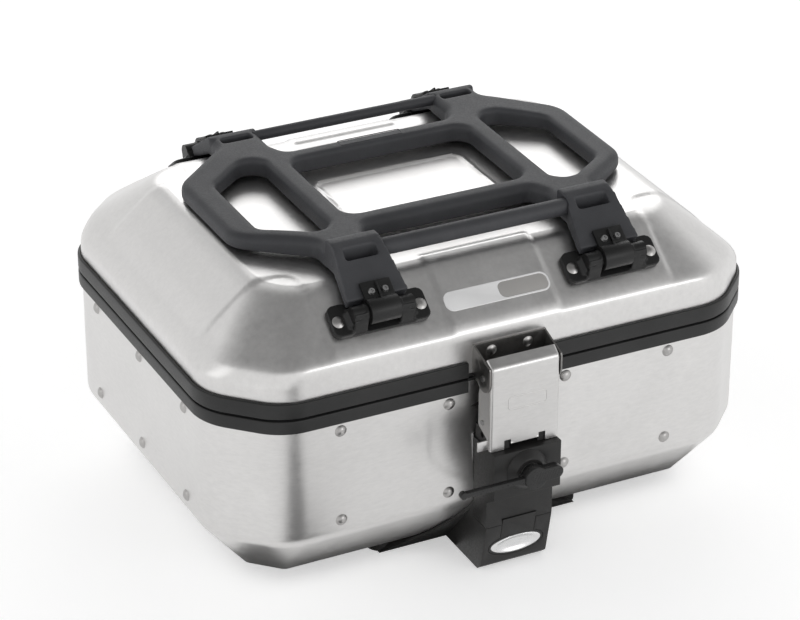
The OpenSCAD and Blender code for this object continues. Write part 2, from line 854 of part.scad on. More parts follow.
// Rubber seal in the upper trim's groove.
module lid_seal() {
    color("black")
        outline_ring(-0.7, -0.7 - seal_w, trim_lo_top + gap, trim_up_bottom + seal_sunk);
}

// Places its children on the front slope, with +Z standing on it and -Y down the slope.
module on_front_slope(x, down) {
    translate([x, slope_hi[0] - down * cos(slope_a), slope_hi[1] - down * sin(slope_a)])
        rotate([slope_a, 0, 0]) children();
}

// Blank plate on the front slope, a rounded bar with a light border.
module badge_plate() {
    color("gainsboro")
        on_front_slope(0, badge_down)
            linear_extrude(1.6)
                difference() {
                    rrect(badge_l, badge_w, badge_r);
                    translate([badge_l / 4, 0])
                        rrect(badge_l / 2 - 2 * badge_rim, badge_w - 2 * badge_rim, badge_r - badge_rim);
                }
}

// Darker half let into the plate.
module badge_insert() {
    color("gray")
        on_front_slope(0, badge_down)
            translate([badge_l / 4, 0])
                linear_extrude(1.2)
                    rrect(badge_l / 2 - 2 * badge_rim, badge_w - 2 * badge_rim, badge_r - badge_rim);
}

// ---- latch

module at_bracket_rivets() {
    for (x = [-1, 1])
        translate([x * bracket_rivet_half, front - steel, bracket_rivet_z])
            rotate([90, 0, 0]) children();
}

// Steel bracket on the lid's skirt, with an ear at each side for the lever's pin.
module latch_bracket() {
    ear_r = 12;
    back_y = front;
    color("silver")
        difference() {
            union() {
                translate([-latch_half, back_y - steel, trim_up_bottom])
                    cube([bracket_w, steel, bracket_top - trim_up_bottom]);
                for (s = [-1, 1])
                    translate([s * (latch_half - steel / 2), 0, 0]) {
                        along_x(steel)
                            polygon([[back_y, bracket_top], [lever_y + 1, bracket_top - 9],
                                     [lever_y, bracket_top - 11], [lever_y, lever_pivot[1] - 2],
                                     [lever_pivot[0], lever_pivot[1] - ear_r + 2],
                                     [back_y, lever_pivot[1] - 4]]);
                        translate([0, lever_pivot[0], lever_pivot[1]]) rod_x(2 * ear_r - 1.4, steel);
                    }
            }
            translate([0, lever_pivot[0], lever_pivot[1]]) rod_x(lever_pin_d, 100);
            at_bracket_rivets() cylinder(h = 30, d = rivet_shank_d, center = true);
        }
}

module bracket_rivets() {
    color("lightgray")
        at_bracket_rivets() rivet(steel + sheet + trim_leg, 1.5, 9);
}

// Steel cover lever: front plate, sloping top lip, side flanges and a lift tab on the left.
module latch_lever() {
    flange_rear = front - 4;
    color("gainsboro")
        difference() {
            union() {
                translate([-lever_half, lever_y, lever_bottom])
                    cube([2 * lever_half, steel, lever_top - lever_bottom]);
                along_x(2 * lever_half - 6)
                    polygon([[lever_y, lever_top - eps], [lever_y + steel, lever_top - eps],
                             [lever_y + 9.2, lever_top + 4.4], [lever_y + 8.4, lever_top + 5.6]]);
                for (s = [-1, 1])
                    translate([s * (lever_half - steel / 2), 0, 0])
                        along_x(steel)
                            polygon([[lever_y, lever_top], [lever_pivot[0] + 2, lever_top],
                                     [lever_pivot[0] + 7, lever_pivot[1] + 5],
                                     [lever_pivot[0] + 7, lever_pivot[1] - 8],
                                     [flange_rear, lever_pivot[1] - 18], [flange_rear, lever_bottom + 15],
                                     [lever_y + 6, lever_bottom + 9], [lever_y + 5, lever_bottom + 2],
                                     [lever_y, lever_bottom]]);
                translate([-lever_half - 9.4, lever_y + 4, lever_bottom + 0.5]) cube([10, steel, 8.6]);
            }
            translate([0, lever_pivot[0], lever_pivot[1]]) rod_x(lever_pin_d + 2 * pin_fit, 100);
            translate([0, claw_pivot[0], claw_pivot[1]]) rod_x(claw_pin_d, 100);
            // notches in the lower edge leave a foot at each side
            translate([-lever_half + lever_foot, lever_y - 1, lever_bottom - 1])
                cube([2 * (lever_half - lever_foot), 5, 5]);
            for (s = [-1, 1])
                translate([s * (lever_half - lever_foot - 3) - 3, lever_y - 1, lever_bottom - 1])
                    cube([6, 5, 9]);
        }
}

module lever_pin() {
    color("silver") translate([0, lever_pivot[0], lever_pivot[1]]) rod_x(lever_pin_d, bracket_w + 2);
}

// Claw that reaches under the keeper when it is drawn in; it is shown released.
module latch_claw() {
    arm_y = keeper[0] - keeper_d / 2 - 5.5; // rear face of the arm
    lip_y = keeper[0] - keeper_d / 2 - 0.6; // end of the lip
    lip_z = keeper[1] - keeper_d / 2 - 0.9;
    color("dimgray")
        difference() {
            along_x(claw_w) {
                translate(claw_pivot) circle(5);
                polygon([[arm_y - 3, claw_pivot[1]], [arm_y - 3, lip_z - 1.2], [arm_y - 1.8, lip_z - 2.4],
                         [lip_y, lip_z - 2.4], [lip_y, lip_z], [arm_y, lip_z],
                         [arm_y, claw_pivot[1] - 6], [claw_pivot[0] + 2, claw_pivot[1] - 4],
                         [claw_pivot[0], claw_pivot[1]]]);
            }
            translate([0, claw_pivot[0], claw_pivot[1]]) rod_x(claw_pin_d + 2 * pin_fit, 60);
        }
}

module claw_pin() {
    color("silver") translate([0, claw_pivot[0], claw_pivot[1]]) rod_x(claw_pin_d, 2 * lever_half + 1.6);
}

// ---- rack

module rack_outline() {
    offset(4) offset(-4)
        polygon([[-rack_w / 2, -rack_end_front], [-rack_side_x, -rack_side_y], [-bay_half, -rack_side_y],
                 [-bay_half + 6, -rack_d / 2], [bay_half - 6, -rack_d / 2], [bay_half, -rack_side_y],
                 [rack_side_x, -rack_side_y], [rack_w / 2, -rack_end_front], [rack_w / 2, rack_end_rear],
                 [rack_side_x, rack_shoulder_y], [bay_half, rack_shoulder_y], [bay_half - 6, rack_d / 2],
                 [-bay_half + 6, rack_d / 2], [-bay_half, rack_shoulder_y], [-rack_side_x, rack_shoulder_y],
                 [-rack_w / 2, rack_end_rear]]);
}

module end_hole() {
    polygon([[end_hole_in, -end_hole_tip_y + 8], [end_hole_in + 8, -end_hole_tip_y],
             [end_hole_tip_x, -end_hole_tip_y], [end_hole_out, -end_hole_y],
             [end_hole_out, end_hole_y], [end_hole_tip_x, end_hole_tip_y],
             [end_hole_in + 8, end_hole_tip_y], [end_hole_in, end_hole_tip_y - 8]]);
}

// Plan of a front foot: narrow at the slot, wider over the clamp.
module foot_plan(spread) {
    wide = foot_w / 2 + spread;
    polygon([[-wide, foot_tip_y - 10], [wide, foot_tip_y - 10], [wide, foot_tip_y + 8],
             [foot_w / 2, -rack_side_y - 30], [foot_w / 2, -rack_side_y + 10],
             [-foot_w / 2, -rack_side_y + 10], [-foot_w / 2, -rack_side_y - 30], [-wide, foot_tip_y + 8]]);
}

// Front foot: it rises over the plate's edge, then slopes down to the clamp.
module front_foot() {
    intersection() {
        along_x(foot_w + 20)
            polygon([[-rack_side_y + 4, rack_bottom], [-rack_side_y + 4, rack_z - 0.6],
                     [-rack_side_y - 6, rack_z + 2], [-rack_side_y - 19, rack_z + foot_hump],
                     [-rack_side_y - 26, rack_z + foot_hump], [-rack_side_y - 34, rack_z + foot_hump - 3],
                     [foot_tip_y, rack_z - 25], [foot_tip_y + 4, rack_z - 32],
                     [-rack_side_y - 34, rack_bottom + 1.5], [-rack_side_y - 18, rack_bottom + 1.5]]);
        translate([0, 0, rack_bottom - 40]) linear_extrude(80) foot_plan(5);
    }
}

// Rear foot: flat at the top, then down to the clamp.
module rear_foot() {
    intersection() {
        along_x(foot_w + 20)
            polygon([[rack_side_y - 4, rack_bottom], [rack_side_y - 4, rack_z],
                     [rack_side_y + 36, rack_z], [-foot_tip_y, rack_z - 25], [-foot_tip_y - 4, rack_z - 32],
                     [rack_side_y + 34, rack_bottom + 1.5], [rack_side_y + 18, rack_bottom + 1.5]]);
        translate([0, 0, rack_bottom - 40]) mirror([0, 1, 0]) linear_extrude(80) foot_plan(2);
    }
}

module rack_frame() {
    color("dimgray")
        difference() {
            union() {
                translate([0, 0, rack_bottom])
                    linear_extrude(rack_t)
                        difference() {
                            rack_outline();
                            rrect(2 * hole_half_x, 2 * hole_half_y, 12);
                            end_hole();
                            mirror([1, 0]) end_hole();
                        }
                for (s = [-1, 1])
                    translate([s * foot_x, 0, 0]) {
                        front_foot();
                        rear_foot();
                    }
            }
            for (s = [-1, 1]) {
                translate([s * foot_x - slot_l / 2, front_slot_y - slot_w / 2, rack_bottom - 30])
                    cube([slot_l, slot_w, 80]);
                translate([s * foot_x - slot_l / 2, rear_slot_y - slot_w / 2, rack_bottom - 10])
                    cube([slot_l, slot_w, 60]);
            }
            at_brackets() {
                rod_clear();
                clamp_seat();
                for (x = [-1, 1])
                    translate([x * clamp_screw_x, clamp_screw_u, 4]) cylinder(h = 30, d = clamp_screw_d);
            }
            translate([0, bar_front[0], bar_front[1]]) rod_x(bar_front_d, bar_l);
            translate([0, bar_rear[0], bar_rear[1]]) rod_x(bar_rear_d, bar_l);
        }
}
// Room in the feet round the clamps' sleeves and the bases.
module rod_clear() {
    translate([0, 0, pivot_n]) rod_x(sleeve_d + 1, foot_w + 22);
}

module clamp_seat() {
    translate([-clamp_w / 2 - 0.3, -2, tab_n - 0.02]) cube([clamp_w + 0.6, tab_l + 3, 40]);
}

module front_bar() {
    color("dimgray")
        translate([0, bar_front[0], bar_front[1]]) rod_x(bar_front_d, bar_l);
}

module rear_bar() {
    color("dimgray")
        translate([0, bar_rear[0], bar_rear[1]]) rod_x(bar_rear_d, bar_l);
}

// Frame of one rack bracket: its middle on the slope, +Z off the lid, +Y up the slope.
module in_bracket(sx, sy) {
    mirror([0, sy > 0 ? 1 : 0, 0])
        translate([sx * foot_x, bracket_y, bracket_z]) rotate([slope_a, 0, 0]) children();
}

module at_brackets() {
    for (sx = [-1, 1], sy = [-1, 1]) in_bracket(sx, sy) children();
}

module at_rack_rivets() {
    at_brackets() for (x = [-1, 1]) translate([x * bracket_rivet_x, 0, pad_t]) children();
}

// Base of a rack bracket: a pad at each end, and between them the bar's two posts.
module rack_base(sx, sy) {
    pad_w = 18;
    pad_l = 27;
    pad_u = 1;                              // the pads' middle is this far up the slope
    color([0.2, 0.2, 0.21])
        in_bracket(sx, sy)
            difference() {
                union() {
                    translate([0, pad_u, 0])
                        linear_extrude(2.4) rrect(2 * bracket_half, pad_l, 6);
                    for (s = [-1, 1]) {
                        translate([s * (bracket_half - pad_w / 2), pad_u, 0])
                            linear_extrude(pad_t) rrect(pad_w, pad_l, 6);
                        translate([s * 20, 0, 0])
                            along_x(12)
                                polygon([[-12, 2], [10, 2], [6.5, pivot_n], [4, pivot_n + 5],
                                         [-4, pivot_n + 6.4], [-8, pivot_n]]);
                    }
                }
                for (x = [-1, 1])
                    translate([x * bracket_rivet_x, 0, 0])
                        cylinder(h = 20, d = rivet_shank_d, center = true);
                translate([0, 0, pivot_n]) rod_x(pivot_bar_d + 2 * pin_fit, pivot_bar_l);
                translate([0, 0, pivot_n]) rod_x(sleeve_d + 0.8, clamp_w + 0.8);
            }
}

// Clamp: a sleeve round the bar with a tab that is screwed to the foot.
module rack_clamp(sx, sy) {
    color([0.24, 0.24, 0.25])
        in_bracket(sx, sy)
            difference() {
                union() {
                    translate([0, 0, pivot_n]) rod_x(sleeve_d, clamp_w);
                    translate([-clamp_w / 2, 0, tab_n]) cube([clamp_w, tab_l, tab_t]);
                    translate([-0.8, 0, tab_n + tab_t - eps]) cube([1.6, tab_l - 2, 2.2]);
                }
                translate([0, 0, pivot_n]) rod_x(pivot_bar_d + 2 * pin_fit, 60);
                for (x = [-1, 1])
                    translate([x * clamp_screw_x, clamp_screw_u, tab_n - 1])
                        cylinder(h = 10, d = clamp_screw_d);
            }
}

module rack_pivot_bars() {
    color([0.2, 0.2, 0.21])
        at_brackets() translate([0, 0, pivot_n]) rod_x(pivot_bar_d, pivot_bar_l);
}

// Cross-head screws through the clamps' tabs into the feet.
module clamp_screws() {
    color("silver")
        at_brackets()
            for (x = [-1, 1])
                translate([x * clamp_screw_x, clamp_screw_u, tab_n + tab_t])
                    difference() {
                        union() {
                            cylinder(h = 1.8, d1 = 6, d2 = 4.6);
                            translate([0, 0, -tab_t - 7])
                                cylinder(h = tab_t + 7 + eps, d = clamp_screw_d);
                        }
                        for (a = [0, 90]) rotate([0, 0, a])
                            translate([0, 0, 1.6]) cube([3, 0.8, 1.6], center = true);
                    }
}

module rack_rivets() {
    color("lightgray") at_rack_rivets() rivet(pad_t + sheet, 1.8, 10);
}

tub_shell();
lower_trim();
floor_liner();
front_rivets();
rear_rivets();
side_rivets();
base_plate();
base_screws();
base_washers();
lock_housing();
lock_collar();
lock_backplate();
lock_screws();
keeper_pin();
lock_barrel();
lock_cam();
key_blade();
key_bow();
release_button();
button_insert();
button_spring();
release_hook();
hook_pin();
hinge_lower_leaves();
hinge_pins();
hinge_upper_leaves();
hinge_lower_rivets();
hinge_upper_rivets();
lid_shell();
upper_trim();
lid_seal();
badge_plate();
badge_insert();
latch_bracket();
bracket_rivets();
latch_lever();
lever_pin();
latch_claw();
claw_pin();
rack_frame();
front_bar();
rear_bar();
rack_base(-1, -1);  // rack_base_front_left
rack_base(1, -1);  // rack_base_front_right
rack_base(-1, 1);  // rack_base_rear_left
rack_base(1, 1);  // rack_base_rear_right
rack_clamp(-1, -1);  // rack_clamp_front_left
rack_clamp(1, -1);  // rack_clamp_front_right
rack_clamp(-1, 1);  // rack_clamp_rear_left
rack_clamp(1, 1);  // rack_clamp_rear_right
rack_pivot_bars();
clamp_screws();
rack_rivets();
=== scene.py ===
import math

import bmesh
import bpy
from mathutils import Matrix, Vector


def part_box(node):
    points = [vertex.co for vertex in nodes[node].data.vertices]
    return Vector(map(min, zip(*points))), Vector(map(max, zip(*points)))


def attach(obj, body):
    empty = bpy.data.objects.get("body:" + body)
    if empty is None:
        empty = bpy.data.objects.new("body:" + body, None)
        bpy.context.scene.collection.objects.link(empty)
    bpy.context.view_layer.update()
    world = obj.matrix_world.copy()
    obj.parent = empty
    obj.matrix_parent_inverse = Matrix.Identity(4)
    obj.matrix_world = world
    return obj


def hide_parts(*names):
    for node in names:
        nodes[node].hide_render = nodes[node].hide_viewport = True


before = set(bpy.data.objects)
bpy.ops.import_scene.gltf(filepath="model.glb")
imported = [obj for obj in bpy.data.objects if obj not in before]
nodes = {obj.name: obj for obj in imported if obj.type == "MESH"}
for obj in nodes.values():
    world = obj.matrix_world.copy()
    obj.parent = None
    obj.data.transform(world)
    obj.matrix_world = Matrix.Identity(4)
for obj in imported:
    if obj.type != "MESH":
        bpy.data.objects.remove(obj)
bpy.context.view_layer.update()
mm = 0.001
cutGrow = 0.5858      # 2 minus the root of 2: a cut corner grows by this share of its outline's growth
noiseLow, noiseHigh = 0.3, 0.7      # nearly all of a noise lies between these
grainScale = dict(drawn=260, drawnClouds=14, mouldedClouds=22, paper=3)
grainHeight = dict(drawn=0.2 * mm, moulded=0.3 * mm)


def span(node):
    low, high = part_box(node)
    return low, high, (low + high) / 2


def newMaterial(name):
    material = bpy.data.materials.new(name)
    material.use_nodes = True
    tree = material.node_tree
    shader = tree.nodes["Principled BSDF"]
    return material, tree, shader


def grain(tree, scale, detail, stretch=(1, 1, 1), rough=0.55):
    # object coordinates, stretched so that a grain can run one way
    coords = tree.nodes.new("ShaderNodeTexCoord")
    mapping = tree.nodes.new("ShaderNodeMapping")
    mapping.inputs["Scale"].default_value = stretch
    texture = tree.nodes.new("ShaderNodeTexNoise")
    texture.inputs["Scale"].default_value = scale
    texture.inputs["Detail"].default_value = detail
    texture.inputs["Roughness"].default_value = rough
    tree.links.new(coords.outputs["Object"], mapping.inputs["Vector"])
    tree.links.new(mapping.outputs["Vector"], texture.inputs["Vector"])
    return texture.outputs["Fac"]


def spread(tree, value, low, high):
    remap = tree.nodes.new("ShaderNodeMapRange")
    remap.inputs["From Min"].default_value = noiseLow
    remap.inputs["From Max"].default_value = noiseHigh
    remap.inputs["To Min"].default_value = low
    remap.inputs["To Max"].default_value = high
    tree.links.new(value, remap.inputs["Value"])
    return remap.outputs["Result"]


def twoTone(tree, value, darker, lighter):
    ramp = tree.nodes.new("ShaderNodeValToRGB")
    ramp.color_ramp.elements[0].position = noiseLow
    ramp.color_ramp.elements[1].position = noiseHigh
    ramp.color_ramp.elements[0].color = (*darker, 1)
    ramp.color_ramp.elements[1].color = (*lighter, 1)
    tree.links.new(value, ramp.inputs["Fac"])
    return ramp.outputs["Color"]


def bumps(tree, shader, value, strength, distance):
    bump = tree.nodes.new("ShaderNodeBump")
    bump.inputs["Strength"].default_value = strength
    bump.inputs["Distance"].default_value = distance
    tree.links.new(value, bump.inputs["Height"])
    tree.links.new(bump.outputs["Normal"], shader.inputs["Normal"])


def makeBrushed(name, darker, lighter, roughLow, roughHigh, stretch, depth):
    # metal with a fine drawn grain over a slow, cloudy variation
    material, tree, shader = newMaterial(name)
    shader.inputs["Metallic"].default_value = 1.0
    fine = grain(tree, grainScale["drawn"], 3, stretch, 0.7)
    clouds = grain(tree, grainScale["drawnClouds"], 3, (1, 1, 1), 0.6)
    mix = tree.nodes.new("ShaderNodeMix")
    mix.inputs["Factor"].default_value = 0.45
    tree.links.new(fine, mix.inputs["A"])
    tree.links.new(clouds, mix.inputs["B"])
    blended = mix.outputs["Result"]
    tree.links.new(twoTone(tree, blended, darker, lighter), shader.inputs["Base Color"])
    tree.links.new(spread(tree, blended, roughLow, roughHigh), shader.inputs["Roughness"])
    bumps(tree, shader, fine, depth, grainHeight["drawn"])
    return material


def makeMoulded(name, darker, lighter, roughLow, roughHigh, scale, depth, metallic, gloss):
    # plastic or paint with an eroded texture as fine as sand
    material, tree, shader = newMaterial(name)
    shader.inputs["Metallic"].default_value = metallic
    shader.inputs["Specular IOR Level"].default_value = gloss
    fine = grain(tree, scale, 2, (1, 1, 1), 0.5)
    clouds = grain(tree, grainScale["mouldedClouds"], 3, (1, 1, 1), 0.6)
    tree.links.new(twoTone(tree, clouds, darker, lighter), shader.inputs["Base Color"])
    tree.links.new(spread(tree, fine, roughLow, roughHigh), shader.inputs["Roughness"])
    bumps(tree, shader, fine, depth, grainHeight["moulded"])
    return material


def shade(grey, warm=0.0):
    return (grey * (1 + warm), grey, grey * (1 - warm))


# darker and lighter tone, lowest and highest roughness, stretch of the grain, depth of its bumps
brushed = {
    "caseSheet": (shade(0.60, 0.012), shade(0.70, 0.012), 0.30, 0.42, (0.5, 0.5, 1.6), 0.25),
    "lidSheet": (shade(0.60, 0.012), shade(0.70, 0.012), 0.28, 0.40, (0.8, 0.8, 0.8), 0.25),
    "leverSteel": (shade(0.54, 0.012), shade(0.64, 0.012), 0.28, 0.38, (0.4, 1, 1.6), 0.25),
    "rivetMetal": (shade(0.34, 0.02), shade(0.46, 0.02), 0.28, 0.42, (1, 1, 1), 0.25),
    "plainSteel": (shade(0.34), shade(0.44), 0.28, 0.42, (1, 1, 1), 0.25),
    "bracketSteel": (shade(0.17, 0.03), shade(0.24, 0.03), 0.30, 0.42, (1, 1, 1), 0.25),
    "brightDish": (shade(0.70), shade(0.80), 0.22, 0.30, (0.3, 1, 1), 0.06),
}
# darker and lighter tone, lowest and highest roughness, texture's scale and depth, metallic, specular level
moulded = {
    "trimBlack": (shade(0.012), shade(0.018), 0.36, 0.50, 1100, 0.15, 0.0, 0.35),
    "rackNylon": ((0.038, 0.039, 0.043), (0.054, 0.055, 0.060), 0.46, 0.64, 900, 0.4, 0.0, 0.35),
    "bracketNylon": (shade(0.006), shade(0.010), 0.34, 0.48, 900, 0.2, 0.0, 0.35),
    "baseNylon": (shade(0.010, 0.03), shade(0.016, 0.03), 0.36, 0.52, 800, 0.2, 0.0, 0.35),
    "keyNylon": (shade(0.014), shade(0.020), 0.26, 0.36, 900, 0.15, 0.0, 0.35),
    "clawIron": (shade(0.06), shade(0.10), 0.45, 0.62, 500, 0.4, 0.8, 0.5),
    "sealRubber": (shade(0.008), shade(0.014), 0.6, 0.8, 600, 0.3, 0.0, 0.3),
    "labelLight": (shade(0.76), shade(0.82), 0.40, 0.52, 900, 0.05, 0.0, 0.5),
    "labelDark": (shade(0.36, 0.03), shade(0.42, 0.03), 0.40, 0.52, 900, 0.05, 0.2, 0.5),
}
finishes = {name: makeBrushed(name, *values) for name, values in brushed.items()}
finishes.update({name: makeMoulded(name, *values) for name, values in moulded.items()})

# the pieces that keep their CAD shape
carried = {
    "rivetMetal": ["front_rivets", "rear_rivets", "side_rivets", "rack_rivets", "bracket_rivets",
                   "hinge_lower_rivets", "hinge_upper_rivets"],
    "plainSteel": ["base_screws", "base_washers", "lock_backplate", "lock_screws", "keeper_pin",
                   "lock_cam", "key_blade", "button_spring", "release_hook", "hook_pin", "hinge_pins",
                   "lever_pin", "claw_pin", "clamp_screws", "hinge_lower_leaves", "hinge_upper_leaves",
                   "lock_barrel"],
    "trimBlack": ["floor_liner"],
    "sealRubber": ["lid_seal"],
    "bracketNylon": ["rack_pivot_bars"],
    "clawIron": ["latch_claw"],
}


def paint(thing, finish):
    thing.data.materials.clear()
    thing.data.materials.append(finishes[finish])


for finish, names in carried.items():
    for node in names:
        paint(nodes[node], finish)
print("materials made")


def smoothstep(x):
    x = max(0.0, min(1.0, x))
    return x * x * (3 - 2 * x)


def inScene(name, mesh):
    thing = bpy.data.objects.new(name, mesh)
    bpy.context.collection.objects.link(thing)
    return thing


def sceneMesh(name, points, faces):
    mesh = bpy.data.meshes.new(name)
    mesh.from_pydata([tuple(p) for p in points], [], faces)
    return inScene(name, mesh)


def openMesh(mesh):
    build = bmesh.new()
    build.from_mesh(mesh)
    return build


def closeMesh(build, mesh):
    build.to_mesh(mesh)
    build.free()
    return mesh


def settle(thing, sharpAngle):
    # smooth faces, with edges above the angle kept sharp
    build = openMesh(thing.data)
    bmesh.ops.recalc_face_normals(build, faces=build.faces)
    for face in build.faces:
        face.smooth = True
    for edge in build.edges:
        if len(edge.link_faces) == 2:
            edge.smooth = edge.calc_face_angle(0) < math.radians(sharpAngle)
    closeMesh(build, thing.data)


def place(thing, finish, body, node=None):
    paint(thing, finish)
    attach(thing, body)
    if node:
        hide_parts(node)


def addPiece(name, points, faces, finish, body, node=None, sharpAngle=50):
    thing = sceneMesh(name, points, faces)
    thing.data.validate()
    settle(thing, sharpAngle)
    place(thing, finish, body, node)


def applyModifiers(thing):
    depsgraph = bpy.context.evaluated_depsgraph_get()
    mesh = bpy.data.meshes.new_from_object(thing.evaluated_get(depsgraph))
    thing.modifiers.clear()
    thing.data = mesh


def breakEdges(thing, width, segments, angle=30):
    bevel = thing.modifiers.new("brokenEdges", "BEVEL")
    bevel.width = width
    bevel.segments = segments
    bevel.limit_method = "ANGLE"
    bevel.angle_limit = math.radians(angle)
    applyModifiers(thing)


def meltEdges(thing, voxel, rounds):
    # an even remesh, then smoothing, melts the edges as moulding does
    remesh = thing.modifiers.new("evenMesh", "REMESH")
    remesh.mode = "VOXEL"
    remesh.voxel_size = voxel
    smooth = thing.modifiers.new("softEdges", "SMOOTH")
    smooth.factor = 0.5
    smooth.iterations = rounds
    applyModifiers(thing)


def copyOf(node, name):
    thing = inScene(name, nodes[node].data.copy())
    build = openMesh(thing.data)
    bmesh.ops.remove_doubles(build, verts=build.verts, dist=0.01 * mm)
    bmesh.ops.dissolve_limit(build, angle_limit=math.radians(1.5), verts=build.verts, edges=build.edges)
    closeMesh(build, thing.data)
    return thing


def roundedCopy(node, name, width, finish, body, segments=3):
    # the same solid with its edges broken as on the real piece
    thing = copyOf(node, name)
    breakEdges(thing, width, segments, 32)
    settle(thing, 38)
    place(thing, finish, body, node)


tubLow, tubHigh, _ = span("tub_shell")
lidLow, lidHigh, _ = span("lid_shell")
case = dict(
    halfW=tubHigh.x, halfD=tubHigh.y, cornerCut=46 * mm, bend=46 * mm,
    sheet=1.5 * mm, chamferIn=40 * mm, chamferH=48 * mm,
    frontSteps=140, sideSteps=92, cutSteps=10, bendSteps=9,
)


def outline(w, d, cut, r, spec=case):
    # rectangle with cut corners and rounded bends, anticlockwise, with evenly divided sides
    near, far = r, cut + r * math.tan(math.radians(22.5))
    points = []
    for q in range(4):
        sx = 1 if q in (0, 3) else -1
        sy = 1 if q < 2 else -1
        for b in range(2):
            atSide = (q + b) % 2 == 0
            cx = sx * (w - (near if atSide else far))
            cy = sy * (d - (far if atSide else near))
            for i in range(spec["bendSteps"] + 1):
                a = math.radians(90 * q + 45 * b + 45 * i / spec["bendSteps"])
                points.append((cx + r * math.cos(a), cy + r * math.sin(a)))
    count = spec["bendSteps"] + 1
    full = []
    gaps = [spec["cutSteps"], spec["frontSteps"], spec["cutSteps"], spec["sideSteps"]] * 2
    for k in range(8):
        bendPoints = points[k * count:(k + 1) * count]
        full += bendPoints
        start, end = bendPoints[-1], points[((k + 1) * count) % len(points)]
        for i in range(1, gaps[k]):
            f = i / gaps[k]
            full.append((start[0] + (end[0] - start[0]) * f, start[1] + (end[1] - start[1]) * f))
    return full


def caseOutline(grow, spec=case):
    return outline(spec["halfW"] + grow, spec["halfD"] + grow,
                   spec["cornerCut"] + cutGrow * grow, spec["bend"] + grow, spec)


def skin(rings, capped=True):
    # closed rings of equally many points, joined one after another
    n = len(rings[0])
    points = [p for ring in rings for p in ring]
    faces = []
    for k in range(len(rings) - 1):
        for i in range(n):
            j = (i + 1) % n
            faces.append((k * n + i, k * n + j, (k + 1) * n + j, (k + 1) * n + i))
    if capped:
        faces.append(tuple(reversed(range(n))))
        faces.append(tuple(range((len(rings) - 1) * n, len(rings) * n)))
    return points, faces


def levels(points, z):
    return [(x, y, z) for x, y in points]


def pathSteps(stops, step):
    # even steps along a list of (z, in) stops
    out = [stops[0]]
    for a, b in zip(stops, stops[1:]):
        n = max(1, int(math.dist(a, b) / step))
        out += [tuple(a[i] + (b[i] - a[i]) * k / n for i in range(len(a))) for k in range(1, n + 1)]
    return out


tub = dict(softBend=5 * mm, bendSteps=6, step=3.5 * mm, innerStep=12 * mm,
           footTurn=[(0, 3), (0.6, 0.6), (2, -1.6)])      # mm up, and mm further in than the chamfer's foot
recess = dict(middleZ=116 * mm, halfX=74 * mm, halfZ=42 * mm, lip=0.9 * mm, lipShare=0.12,
              hollow=2.6 * mm, hollowFrom=0.86, hollowShare=0.6, alwaysHollow=0.35,
              fadeFrom=120 * mm, fadeTo=162 * mm, behindFront=8 * mm)


def recessDepth(x, z):
    # shallow pressed hollow behind the lock: a faint round lip, then deeper towards the lock
    s = recess
    down = max(s["middleZ"] - z, 0) / s["halfZ"]
    reach = math.hypot(x / s["halfX"], down)
    fade = 1 - smoothstep((z - s["fadeFrom"]) / (s["fadeTo"] - s["fadeFrom"]))
    lip = s["lip"] * smoothstep((1 - reach) / s["lipShare"]) * fade
    hollow = s["hollow"] * smoothstep((s["hollowFrom"] - reach) / s["hollowShare"])
    return lip + hollow * (s["alwaysHollow"] + (1 - s["alwaysHollow"]) * fade)


def tubRings(inset, step):
    footZ = tubLow.z + inset
    bendZ = tubLow.z + case["chamferH"]
    soft, inwards = tub["softBend"], case["chamferIn"]
    stops = [(footZ + up * mm, inwards + more * mm) for up, more in tub["footTurn"]]
    for k in range(tub["bendSteps"] + 1):
        # rounded bend between chamfer and wall
        f = k / tub["bendSteps"]
        stops.append((bendZ - soft * (1 - f) + soft * f, soft * (1 - f) ** 2 * inwards / case["chamferH"]))
    stops.append((tubHigh.z, 0))
    rings = []
    for z, into in pathSteps(stops, step):
        ring = []
        for x, y in caseOutline(-into - inset):
            dent = recessDepth(x, z) if y < -case["halfD"] + recess["behindFront"] else 0
            ring.append((x, y + dent, z))
        rings.append(ring)
    return rings


tubInside = tubRings(case["sheet"], tub["innerStep"])
tubPoints, tubFaces = skin(tubRings(0, tub["step"]) + list(reversed(tubInside)))
addPiece("tubSheet", tubPoints, tubFaces, "caseSheet", "case", "tub_shell", 30)
print("tub made")

lid = dict(
    curveH=57 * mm, topCut=22 * mm, topBend=36 * mm, step=2.2 * mm, rowShare=0.6,
    stepEdge=3.4 * mm, stepDepth=1.1 * mm, stepFrom=34 * mm, stepFade=12 * mm,
    cornerX=149 * mm, cornerY=96 * mm, cornerRound=14 * mm,
    middleX=47 * mm, middleY=112 * mm, middleTurn=6 * mm, middleRise=1.2 * mm,
    middleFrom=32 * mm, middleFade=10 * mm, steepFrom=6 * mm, outwards=0.5, lessUp=0.2,
    panelX=66 * mm, panelY=40 * mm, panelRound=8 * mm, panelRim=2.6 * mm, panelRise=1.1 * mm,
    innerStep=8 * mm, innerLower=1.2 * mm, lastRing=3 * mm, leastCut=0.5 * mm, leastBend=1 * mm,
)
# rows: height below the top, how far the sides and the front have come in, in mm, and 0 to 1 for upwards
lidRows = [(57, 0, 0, 0), (52, 1.5, 0, 0), (43.5, 9.5, 0, .1), (39.5, 14, 1.2, .35), (33.5, 19.6, 7, .59),
           (27, 26, 15.68, .59), (17, 37.5, 29.02, .59), (7.5, 49, 41.7, .59), (5, 52.5, 45, .7),
           (2.5, 56.5, 49.5, .85), (1, 60, 54, .95), (0, 64, 60, 1)]


